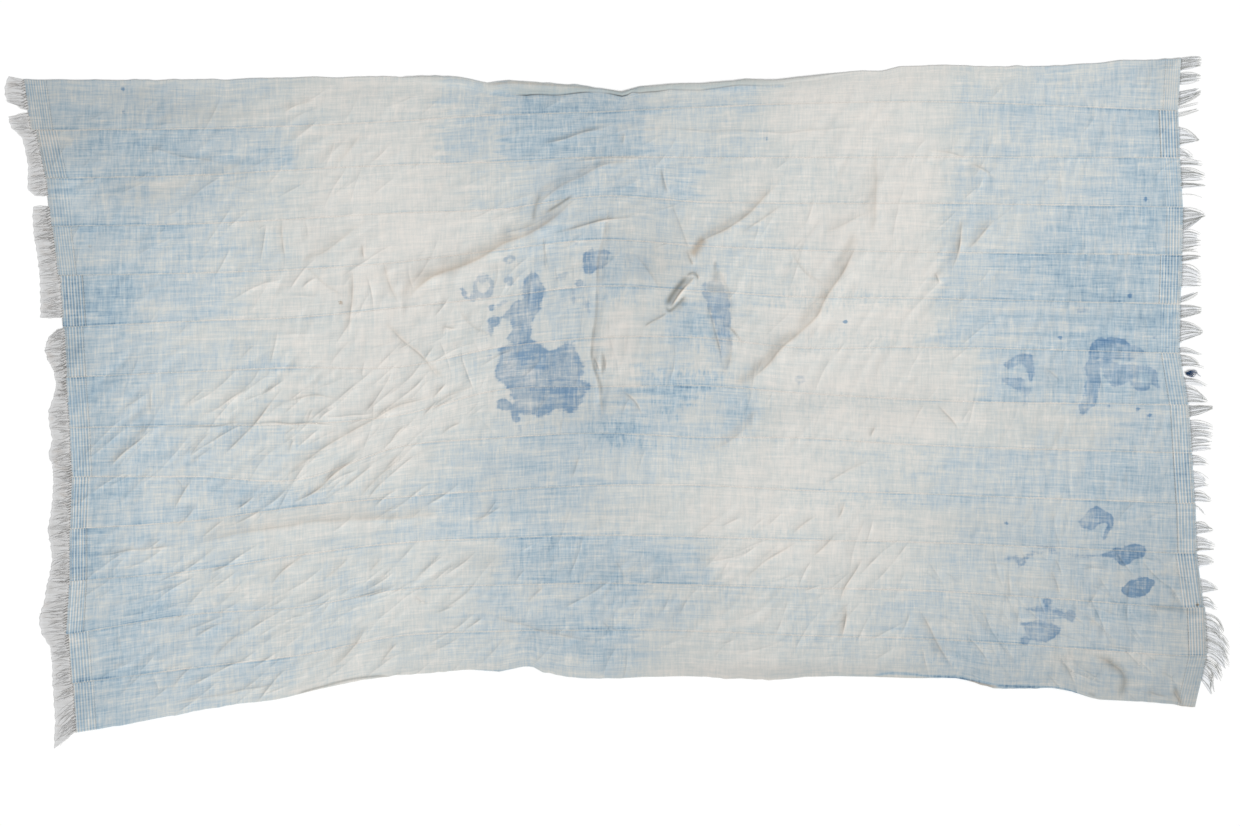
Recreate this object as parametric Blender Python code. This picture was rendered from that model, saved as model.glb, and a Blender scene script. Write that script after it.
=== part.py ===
# Hand-woven throw laid out flat: thirteen narrow woven strips, sewn side by side along their
# length, with the loose warp ends left as a fringe at both ends of every strip.
#
# X runs along the strips, Y across them and Z up. The origin is the bottom centre of the whole.
# Every length below is in millimetres, and MM turns them into metres.

import bmesh
import bpy
import numpy as np

MM = 0.001

# Cloth
THICKNESS = 1.5
SEAM_GAP = 0.3
CELLS_ALONG = 60
ROWS_ACROSS = (0.0, 0.25, 0.5, 0.75, 1.0)
ROWS_TOP_STRIP = (0.0, 0.09, 0.2, 0.45, 0.72, 1.0)

# The cells lie closer together along the middle of a strip, where most folds are.
CELL_SHARE = (0.0, 0.1, 0.9, 1.0)
LENGTH_SHARE = (0.0, 0.18, 0.84, 1.0)

# Fringe
LOCKS_PER_END = 10
LOCK_WIDTH = 4.4
LOCK_WAIST = 0.55  # share of the reach where a lock bends
WAIST_WIDTH = 0.8  # share of the root's width left at the bend
WAIST_HEIGHT = 1.1
BACKING_DEPTH = 4.0
BACKING_SHORT = 0.8  # how far a backing stops short of each corner of its strip
BACKING_BARE = 0.8  # bare backing beside the first and the last lock
TIP_SPREAD = 1.0  # how far a tip strays from its own lane
SHORTEST = 0.12  # share by which the shortest locks fall short
SEED = 13

# The strip edges, as heights Y over the middle line, at each station X along the cloth.
STATIONS = (-911, -694, -528, -361, -194, -28, 139, 306, 472, 939)
SEAMS = (
    (454, 456, 461, 469, 479, 484, 492, 498, 501, 486),
    (374, 379, 388, 396, 401, 409, 408, 408, 409, 408),
    (294, 298, 306, 316, 322, 344, 334, 332, 332, 326),
    (212, 216, 222, 234, 254, 271, 261, 254, 251, 246),
    (126, 136, 142, 158, 176, 194, 186, 176, 174, 164),
    (42, 52, 58, 59, 92, 108, 108, 91, 92, 82),
    (-42, -38, -36, -21, 21, 26, 28, 16, 6, -4),
    (-124, -124, -128, -74, -59, -51, -58, -59, -69, -84),
    (-211, -196, -174, -158, -146, -138, -138, -146, -151, -168),
    (-298, -279, -254, -234, -226, -221, -224, -229, -232, -251),
    (-386, -352, -341, -312, -304, -301, -304, -309, -312, -342),
    (-469, -441, -421, -389, -381, -379, -381, -388, -392, -422),
)

# The two long edges, as points (X, Y) from left to right.
TOP_EDGE = (
    (-984, 538), (-861, 536), (-694, 539), (-528, 542), (-361, 544), (-278, 544), (-244, 538),
    (-214, 531), (-178, 536), (-128, 532), (-61, 528), (-28, 524), (9, 518), (39, 526),
    (89, 531), (139, 532), (206, 538), (272, 539), (339, 546), (389, 551), (439, 552),
    (472, 559), (556, 561), (639, 558), (722, 559), (839, 569), (939, 574),
)
BOTTOM_EDGE = (
    (-902, -549), (-861, -542), (-794, -529), (-728, -516), (-678, -506), (-594, -499),
    (-528, -484), (-494, -472), (-444, -464), (-361, -452), (-294, -446), (-228, -448),
    (-178, -446), (-164, -439), (-144, -441), (-94, -456), (-28, -459), (139, -456),
    (222, -462), (306, -456), (389, -458), (569, -456), (622, -469), (722, -472),
    (772, -488), (806, -492), (922, -501), (962, -508),
)

# Where each strip ends, as X at its upper and its lower corner, from the top strip down.
LEFT_ENDS = (
    (-988, -976), (-968, -952), (-951, -942), (-941, -931), (-928, -922), (-921, -916),
    (-918, -912), (-912, -908), (-908, -911), (-912, -912), (-912, -918), (-914, -908),
    (-906, -901),
)
RIGHT_ENDS = (
    (941, 936), (936, 939), (939, 944), (944, 943), (943, 940), (940, 938), (939, 953),
    (954, 959), (959, 964), (965, 967), (967, 979), (981, 984), (984, 964),
)

# The fringe of each strip end, from the top strip down: the stretch of the end that carries locks,
# as shares of its width from its upper corner, then how far the first and the last lock reach
# and how far their tips lean up the cloth.
# (from, to, first reach, last reach, first lean, last lean)
LEFT_FRINGE = (
    (0.0, 1.0, 36, 34, 3, 0),
    (0.0, 1.0, 27, 30, 0, 0),
    (0.0, 1.0, 33, 32, 0, 0),
    (0.0, 1.0, 33, 33, 0, 0),
    (0.0, 1.0, 35, 37, 0, 0),
    (0.1, 1.0, 28, 22, 0, 0),
    (0.0, 1.0, 18, 33, 0, 0),
    (0.0, 1.0, 30, 35, 0, 0),
    (0.0, 1.0, 32, 33, 0, 0),
    (0.0, 1.0, 35, 33, 0, 0),
    (0.0, 1.0, 40, 42, 0, 0),
    (0.0, 1.0, 35, 33, 0, 0),
    (0.0, 1.0, 33, 33, 0, -29),
)
RIGHT_FRINGE = (
    (0.0, 0.95, 29, 27, 6, 3),
    (0.3, 1.0, 26, 20, -6, 0),
    (0.0, 0.95, 28, 33, 0, 0),
    (0.0, 1.0, 30, 22, 0, 0),
    (0.0, 0.75, 24, 30, 0, 0),
    (0.0, 0.85, 28, 32, 0, 0),
    (0.0, 1.0, 28, 30, 0, 0),
    (0.0, 1.0, 32, 25, 0, 0),
    (0.0, 1.0, 25, 25, 0, 0),
    (0.2, 1.0, 20, 28, 0, 0),
    (0.0, 0.8, 24, 28, 0, 0),
    (0.0, 1.0, 20, 40, 0, -10),
    (0.0, 0.5, 30, 20, -13, -17),
)

# The main folds: how high the crest stands, half the width of its foot, and the crest's line.
FOLDS = {
    "diagonal_left": (8, 34, ((-364, 162), (-319, 202), (-236, 232), (-186, 258), (-124, 294), (-68, 341))),
    "diagonal_branch": (5, 30, ((-132, 304), (-134, 331), (-118, 352), (-28, 396), (64, 404))),
    "left_vee": (5, 28, ((-388, 241), (-378, 191), (-364, 162))),
    "left_upright": (5, 28, ((-439, 234), (-444, 171), (-452, 104))),
    "left_shoulder": (5, 32, ((-528, 234), (-469, 266), (-424, 301))),
    "upper_left": (4, 30, ((-494, 509), (-561, 478))),
    "centre_upright": (5, 28, ((-16, 321), (-28, 229), (-34, 154), (-38, 71), (-28, -4), (-22, -46))),
    "centre_slit": (4, 26, ((-112, 281), (-61, 294), (39, 312))),
    "upper_centre": (4, 32, ((-128, 431), (-11, 459), (106, 456), (239, 448), (406, 458))),
    "pinch": (9, 28, ((122, 211), (96, 184), (79, 151))),
    "pinch_arm": (7, 34, ((119, 254), (172, 284), (236, 328), (278, 374))),
    "stain_step": (6, 32, ((148, 241), (181, 174), (199, 121), (176, 38))),
    "diagonal_right": (7, 34, ((412, 291), (389, 244), (366, 201), (331, 146), (269, 88), (206, 28))),
    "diagonal_right_foot": (4, 30, ((239, -9), (198, -51), (142, -88))),
    "right_upright": (5, 30, ((436, 421), (434, 338), (428, 271))),
    "right_vee_left": (6, 28, ((578, 301), (572, 258), (549, 196))),
    "right_vee_right": (5, 28, ((636, 316), (606, 274), (579, 248))),
    "left_comb_outer": (4, 28, ((-848, -114), (-808, -78), (-766, -41))),
    "left_comb_middle": (4, 28, ((-711, -99), (-669, -42), (-602, 32))),
    "left_comb_inner": (4, 28, ((-661, -102), (-624, -62), (-588, -21), (-549, 32))),
    "left_fan_upper": (5, 32, ((-511, -88), (-444, -46), (-361, -6), (-294, 8))),
    "left_fan_lower": (4, 28, ((-528, -158), (-452, -108), (-424, -82))),
    "left_fan_inner": (4, 28, ((-432, -162), (-391, -121), (-341, -79))),
    "long_soft": (6, 36, ((-711, -239), (-611, -216), (-494, -198), (-361, -191), (-278, -188))),
    "foot_left": (4, 30, ((-584, -322), (-561, -286), (-494, -244))),
    "foot_middle": (4, 30, ((-474, -448), (-441, -412), (-411, -371))),
    "foot_outer": (4, 30, ((-674, -429), (-641, -396), (-608, -371))),
    "lower_centre": (4, 30, ((-228, -349), (-119, -379), (-28, -406))),
    "lower_right_fan": (4, 28, ((412, -258), (386, -304), (369, -342))),
    "lower_mid_fan": (4, 30, ((356, -229), (306, -242), (206, -299))),
    "lower_right": (6, 30, ((498, -339), (526, -382), (566, -456))),
    "corner_right": (6, 30, ((772, -412), (826, -431), (848, -459), (842, -496))),
}

# The top edge is rolled under along the middle: from X to X, with soft starts, this wide and high.
ROLL_FROM = -370
ROLL_TO = 390
ROLL_FADE = 60
ROLL_WIDTH = 15
ROLL_HEIGHT = 5

CLOTH_COLOUR = (0.60, 0.66, 0.72, 1.0)
FADED_COLOUR = (0.70, 0.69, 0.66, 1.0)
FRINGE_COLOUR = (0.58, 0.57, 0.56, 1.0)
CLOTH_ROUGHNESS = 0.92


def clear_scene():
    for thing in list(bpy.data.objects):
        bpy.data.objects.remove(thing, do_unlink=True)


def add_object(name, mesh, colour):
    material = bpy.data.materials.new(name)
    material.use_nodes = True
    shader = material.node_tree.nodes["Principled BSDF"]
    shader.inputs["Base Color"].default_value = colour
    shader.inputs["Roughness"].default_value = CLOTH_ROUGHNESS
    shader.inputs["Metallic"].default_value = 0.0
    mesh.materials.append(material)
    thing = bpy.data.objects.new(name, mesh)
    bpy.context.collection.objects.link(thing)
    return thing


def smooth_curve(x, points_x, points_y):
    # A cubic through the points, its slope at each point taken from the points beside it
    points_x = np.asarray(points_x, float)
    points_y = np.asarray(points_y, float)
    slope = np.gradient(points_y, points_x)
    x = np.clip(x, points_x[0], points_x[-1])
    i = np.clip(np.searchsorted(points_x, x) - 1, 0, len(points_x) - 2)
    step = points_x[i + 1] - points_x[i]
    t = (x - points_x[i]) / step
    start = points_y[i] * (1 + 2 * t) + slope[i] * step * t
    end = points_y[i + 1] * (3 - 2 * t) - slope[i + 1] * step * (1 - t)
    return start * (1 - t) ** 2 + end * t**2


def edge_height(number, x):
    # Y of a strip edge: 0 is the cloth's top edge, then the seams, and the last is its bottom edge
    if number == 0:
        return np.interp(x, *zip(*TOP_EDGE))
    if number > len(SEAMS):
        return np.interp(x, *zip(*BOTTOM_EDGE))
    return smooth_curve(x, STATIONS, SEAMS[number - 1])


def distance_to_line(x, y, line):
    # The shortest distance from each point to a line of straight stretches
    nearest = np.full(np.shape(x), np.inf)
    for (x0, y0), (x1, y1) in zip(line, line[1:]):
        run = np.array((x1 - x0, y1 - y0), float)
        share = ((x - x0) * run[0] + (y - y0) * run[1]) / run.dot(run)
        share = np.clip(share, 0.0, 1.0)
        away = np.hypot(x - x0 - share * run[0], y - y0 - share * run[1])
        nearest = np.minimum(nearest, away)
    return nearest


def underside(x, y):
    # Height over the floor: nothing where the cloth lies flat, a round ridge along each fold
    height = np.zeros(np.shape(x))
    for crest, half_width, line in FOLDS.values():
        share = np.clip(distance_to_line(x, y, line) / half_width, 0.0, 1.0)
        height = np.maximum(height, crest * np.cos(share * np.pi / 2) ** 2)
    inward = np.clip((edge_height(0, x) - y) / ROLL_WIDTH, 0.0, 1.0)
    along = np.minimum(x - ROLL_FROM, ROLL_TO - x) / ROLL_FADE
    roll = ROLL_HEIGHT * np.sin(inward * np.pi) * np.clip(along, 0.0, 1.0)
    return np.maximum(height, roll)


def strip(number):
    # One woven strip: a grid on the folds, raised by the cloth's thickness
    rows = ROWS_TOP_STRIP if number == 0 else ROWS_ACROSS
    across = np.array(rows)[:, None]
    inset = BACKING_DEPTH + SEAM_GAP
    left = np.interp(across, (0, 1), LEFT_ENDS[number]) + inset
    right = np.interp(across, (0, 1), RIGHT_ENDS[number]) - inset
    cell = np.linspace(0.0, 1.0, CELLS_ALONG + 1)
    along = np.interp(cell, CELL_SHARE, LENGTH_SHARE)[None, :]
    x = left + (right - left) * along
    upper = edge_height(number, x) - SEAM_GAP / 2
    lower = edge_height(number + 1, x) + SEAM_GAP / 2
    y = upper + (lower - upper) * across
    z = underside(x, y)

    corner = np.arange(x.size).reshape(x.shape)
    faces = np.stack((corner[:-1, :-1], corner[:-1, 1:], corner[1:, 1:], corner[1:, :-1]), axis=-1)
    points = np.stack((x, y, z), axis=-1).reshape(-1, 3) * MM
    name = f"strip_{number + 1:02d}"
    mesh = bpy.data.meshes.new(name)
    mesh.from_pydata(points.tolist(), [], faces.reshape(-1, 4).tolist())

    shape = bmesh.new()
    shape.from_mesh(mesh)
    raised = bmesh.ops.extrude_face_region(shape, geom=shape.faces[:], use_keep_orig=True)
    upper_points = [part for part in raised["geom"] if isinstance(part, bmesh.types.BMVert)]
    bmesh.ops.translate(shape, verts=upper_points, vec=(0.0, 0.0, THICKNESS * MM))
    bmesh.ops.recalc_face_normals(shape, faces=shape.faces[:])
    shape.to_mesh(mesh)
    shape.free()

    faded = abs(number - 6) / 6
    colour = [a * faded + b * (1 - faded) for a, b in zip(CLOTH_COLOUR, FADED_COLOUR)]
    return add_object(name, mesh, colour)


def lock_lanes(table, top, bottom, chance):
    # Where the locks of one bunch stand on its backing, how far each reaches and how far it leans
    first, last, first_reach, last_reach, first_lean, last_lean = table
    edge = BACKING_BARE + LOCK_WIDTH / 2
    count = max(2, round(LOCKS_PER_END * (last - first)))
    lane = np.linspace(0.0, 1.0, count)
    begin = top - (top - bottom) * first - edge
    finish = top - (top - bottom) * last + edge
    root = begin + (finish - begin) * lane
    reach = (first_reach + (last_reach - first_reach) * lane) * (1 - SHORTEST * chance.uniform(0, 1, count))
    lean = first_lean + (last_lean - first_lean) * lane + TIP_SPREAD * chance.uniform(-1, 1, count)
    return root, reach, lean


def add_backing(points, faces, rim, end_line, outward):
    # A flat bar with two points, floor and top, at each Y of its outer rim and two at each inner
    # corner. The first half of the rim fans out from the upper inner corner, the rest from the lower.
    for y in rim:
        points += [(end_line(y), y, 0.0), (end_line(y), y, THICKNESS)]
    inner = len(points)
    for y in (rim[0], rim[-1]):
        inside = end_line(y) - outward * BACKING_DEPTH
        points += [(inside, y, 0.0), (inside, y, THICKNESS)]
    half = len(rim) // 2
    for layer in (0, 1):
        for i in range(len(rim) - 1):
            corner = inner + layer if i < half else inner + 2 + layer
            faces.append((2 * i + layer, 2 * i + 2 + layer, corner))
        faces.append((2 * half + layer, inner + layer, inner + 2 + layer))
    faces.append((inner, inner + 1, inner + 3, inner + 2))
    faces.append((0, 1, inner + 1, inner))
    faces.append((inner - 2, inner - 1, inner + 3, inner + 2))


def add_lock(points, faces, start, waist, tip):
    # A lock with four sides, from its stretch of the rim through its waist to a point on the floor
    first = len(points)
    half_waist = LOCK_WIDTH * WAIST_WIDTH / 2
    for y in (waist[1] + half_waist, waist[1] - half_waist):
        points += [(waist[0], y, 0.0), (waist[0], y, WAIST_HEIGHT)]
    points.append((tip[0], tip[1], 0.0))
    ring = (0, 1, 3, 2)
    for a, b in zip(ring, ring[1:] + ring[:1]):
        faces.append((start + a, start + b, first + b, first + a))
        faces.append((first + a, first + b, first + 4))


def fringe(side, number, chance):
    # The warp ends of one strip end: a narrow backing, and tapered locks that lie on the floor
    outward = -1 if side == "left" else 1
    ends = LEFT_ENDS[number] if side == "left" else RIGHT_ENDS[number]
    table = LEFT_FRINGE[number] if side == "left" else RIGHT_FRINGE[number]
    inset = outward * (BACKING_DEPTH + SEAM_GAP)
    upper = float(edge_height(number, ends[0] - inset)) - SEAM_GAP / 2
    lower = float(edge_height(number + 1, ends[1] - inset)) + SEAM_GAP / 2

    def end_line(y):
        return float(np.interp(y, (lower, upper), (ends[1], ends[0])))

    top = upper - BACKING_SHORT
    bottom = lower + BACKING_SHORT
    roots, reaches, leans = lock_lanes(table, top, bottom, chance)
    rim = [top]
    for root in roots:
        rim += [root + LOCK_WIDTH / 2, root - LOCK_WIDTH / 2]
    rim.append(bottom)

    points = []
    faces = []
    add_backing(points, faces, rim, end_line, outward)
    for i in range(0, len(rim) - 1, 2):
        faces.append((2 * i, 2 * i + 1, 2 * i + 3, 2 * i + 2))
    for i, (root, reach, lean) in enumerate(zip(roots, reaches, leans)):
        reach = outward * reach
        waist = (end_line(root) + reach * LOCK_WAIST, root + lean * LOCK_WAIST**2)
        tip = (end_line(root) + reach, root + lean)
        add_lock(points, faces, 4 * i + 2, waist, tip)

    name = f"fringe_{side}_{number + 1:02d}"
    mesh = bpy.data.meshes.new(name)
    mesh.from_pydata((np.array(points) * MM).tolist(), [], faces)
    shape = bmesh.new()
    shape.from_mesh(mesh)
    bmesh.ops.recalc_face_normals(shape, faces=shape.faces[:])
    shape.to_mesh(mesh)
    shape.free()
    return add_object(name, mesh, FRINGE_COLOUR)


def build():
    clear_scene()
    chance = np.random.default_rng(SEED)
    for number in range(len(LEFT_ENDS)):
        strip(number)
        fringe("left", number, chance)
        fringe("right", number, chance)


build()
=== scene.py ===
# Hand-woven throw of faded indigo cotton: thirteen narrow strips sewn side by side, with the warp
# ends left as a fringe. X runs along the strips, Y across them, Z up. Sizes are in millimetres;
# places read from the photo are given in its pixels and converted by its one scale.
import math

import bpy
import numpy as np
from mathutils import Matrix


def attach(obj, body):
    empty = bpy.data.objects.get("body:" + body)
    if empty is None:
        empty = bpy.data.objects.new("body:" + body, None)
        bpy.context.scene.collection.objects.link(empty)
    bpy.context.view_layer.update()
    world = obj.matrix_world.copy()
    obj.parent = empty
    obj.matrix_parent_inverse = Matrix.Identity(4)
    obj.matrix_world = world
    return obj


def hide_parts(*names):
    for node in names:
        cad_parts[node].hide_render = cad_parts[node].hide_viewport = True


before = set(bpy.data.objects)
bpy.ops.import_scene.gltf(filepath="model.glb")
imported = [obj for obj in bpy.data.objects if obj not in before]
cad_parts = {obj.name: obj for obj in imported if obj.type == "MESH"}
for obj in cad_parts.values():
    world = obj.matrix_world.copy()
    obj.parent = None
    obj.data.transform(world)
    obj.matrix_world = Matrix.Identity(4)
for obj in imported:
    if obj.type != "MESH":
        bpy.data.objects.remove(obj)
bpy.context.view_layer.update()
mm = 0.001
farAway = 1e9  # more than any distance on the cloth
outOfReach = 50.0  # the distance given where no hem or seam is near
print("frame loaded:", len(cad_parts), "nodes")

# the place in the photo that is the origin of X and Y, the photo's scale, and the direction toward
# the light in it
photo = {"middle": (616.5, 402.5), "pixelsPerMm": 0.6, "towardLight": (0.83, 0.55)}


def photoX(column):
    # X in millimetres of a pixel column
    return round((column - photo["middle"][0]) / photo["pixelsPerMm"])


def photoY(row):
    # Y in millimetres of a pixel row
    return round((photo["middle"][1] - row) / photo["pixelsPerMm"])


def photoSize(pixels, digits=None):
    # a length in pixels as millimetres
    return round(pixels / photo["pixelsPerMm"], digits)


def photoLine(places, shift=0):
    # the places of a line in millimetres, moved first by a shift in pixels toward the light
    shiftX, shiftY = (shift * part for part in photo["towardLight"])
    return tuple((photoX(x + shiftX), photoY(y + shiftY)) for x, y in places)


def photoLines(rows):
    # painted lines: width and places in millimetres, with the amount between them as it is
    return [(photoSize(width, 1), amount, photoLine(line)) for width, amount, line in rows]


def photoAreas(rows, digits=None):
    # areas: centre and half sizes in millimetres, and what follows them as it is
    return [
        (photoX(x), photoY(y), photoSize(halfX, digits), photoSize(halfY, digits), *rest)
        for x, y, halfX, halfY, *rest in rows
    ]


# by pixel column, the pixel rows of the top edge, the twelve seams and the bottom edge
seenSeams = {
    70: (80,130,178,226,275,327,377,428,477,529,581,634,684,733),
    200: (79,129,175,224,273,321,371,425,477,520,570,614,667,708),
    300: (77,126,170,219,269,317,368,424,479,507,555,607,655,693),
    400: (76,121,165,213,262,308,367,415,447,497,543,590,636,674),
    500: (82,115,162,209,250,297,347,390,438,490,538,585,631,671),
    600: (90,112,157,196,240,286,338,387,433,485,535,583,630,678),
    700: (83,107,158,202,246,291,338,386,437,485,537,585,631,676),
    800: (79,104,158,203,250,297,348,393,438,490,540,588,635,677),
    900: (69,102,157,203,252,298,347,399,444,493,542,590,638,677),
    1180: (58,111,158,207,255,304,353,405,453,503,553,608,656,705),
}
stations = [photoX(column) for column in seenSeams]
seams = [[photoY(row) for row in rows] for rows in zip(*seenSeams.values())][1:-1]
topEdge = photoLine((
    (26,80), (100,81), (200,79), (300,77), (400,76), (450,76), (470,80), (488,84), (510,81), (540,83),
    (580,86), (600,88), (622,92), (640,87), (670,84), (700,83), (740,80), (780,79), (820,75), (850,72),
    (880,71), (900,67), (950,66), (1000,68), (1050,67), (1120,61), (1180,58),
))
# the bottom edge, read from enlarged parts of the photo and written in millimetres
bottomEdge = (
    (-902, -550), (-861, -544), (-813, -535), (-773, -526), (-721, -518), (-679, -510), (-636, -503),
    (-593, -498), (-550, -491), (-512, -483), (-486, -477), (-444, -465), (-422, -460), (-380, -458),
    (-337, -453), (-294, -448), (-256, -446), (-196, -449), (-170, -443), (-157, -440), (-140, -440),
    (-123, -449), (-85, -456), (-55, -459), (5, -460), (43, -457), (133, -457), (218, -462),
    (261, -463), (291, -460), (317, -457), (372, -457), (458, -459), (543, -459), (565, -460),
    (599, -467), (629, -475), (672, -476), (727, -476), (757, -481), (791, -492), (804, -495),
    (885, -500), (924, -503), (941, -507), (962, -508),
)
# pixel columns where each strip ends on the left, at its upper and its lower corner
seenLeftEnds = (
    (24,31), (36,45), (46,51), (52,58), (60,63), (64,67), (66,69), (69,72), (72,70), (69,69), (69,66),
    (68,72), (73,76),
)
# the right edge: pixel rows and the pixel column of the edge in each
seenRightEdge = (
    (58,1181), (105,1178), (130,1178), (160,1180), (190,1183), (250,1182), (280,1183), (290,1180),
    (330,1181), (350,1179), (375,1183), (395,1186), (405,1189), (425,1190), (455,1192), (470,1193),
    (500,1195), (520,1196), (560,1197), (590,1199), (610,1205), (650,1207), (675,1206), (706,1194),
)
endInset = 2  # pixels from a seam to the corner of a strip
stripCount = len(seenLeftEnds)
lastStrip = stripCount - 1
leftEnds = [(photoX(upper), photoX(lower)) for upper, lower in seenLeftEnds]
rowsAtRight = seenSeams[max(seenSeams)]
rightEnds = [
    tuple(photoX(np.interp(row, *zip(*seenRightEdge))) for row in (upper + endInset, lower - endInset))
    for upper, lower in zip(rowsAtRight, rowsAtRight[1:])
]

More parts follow.
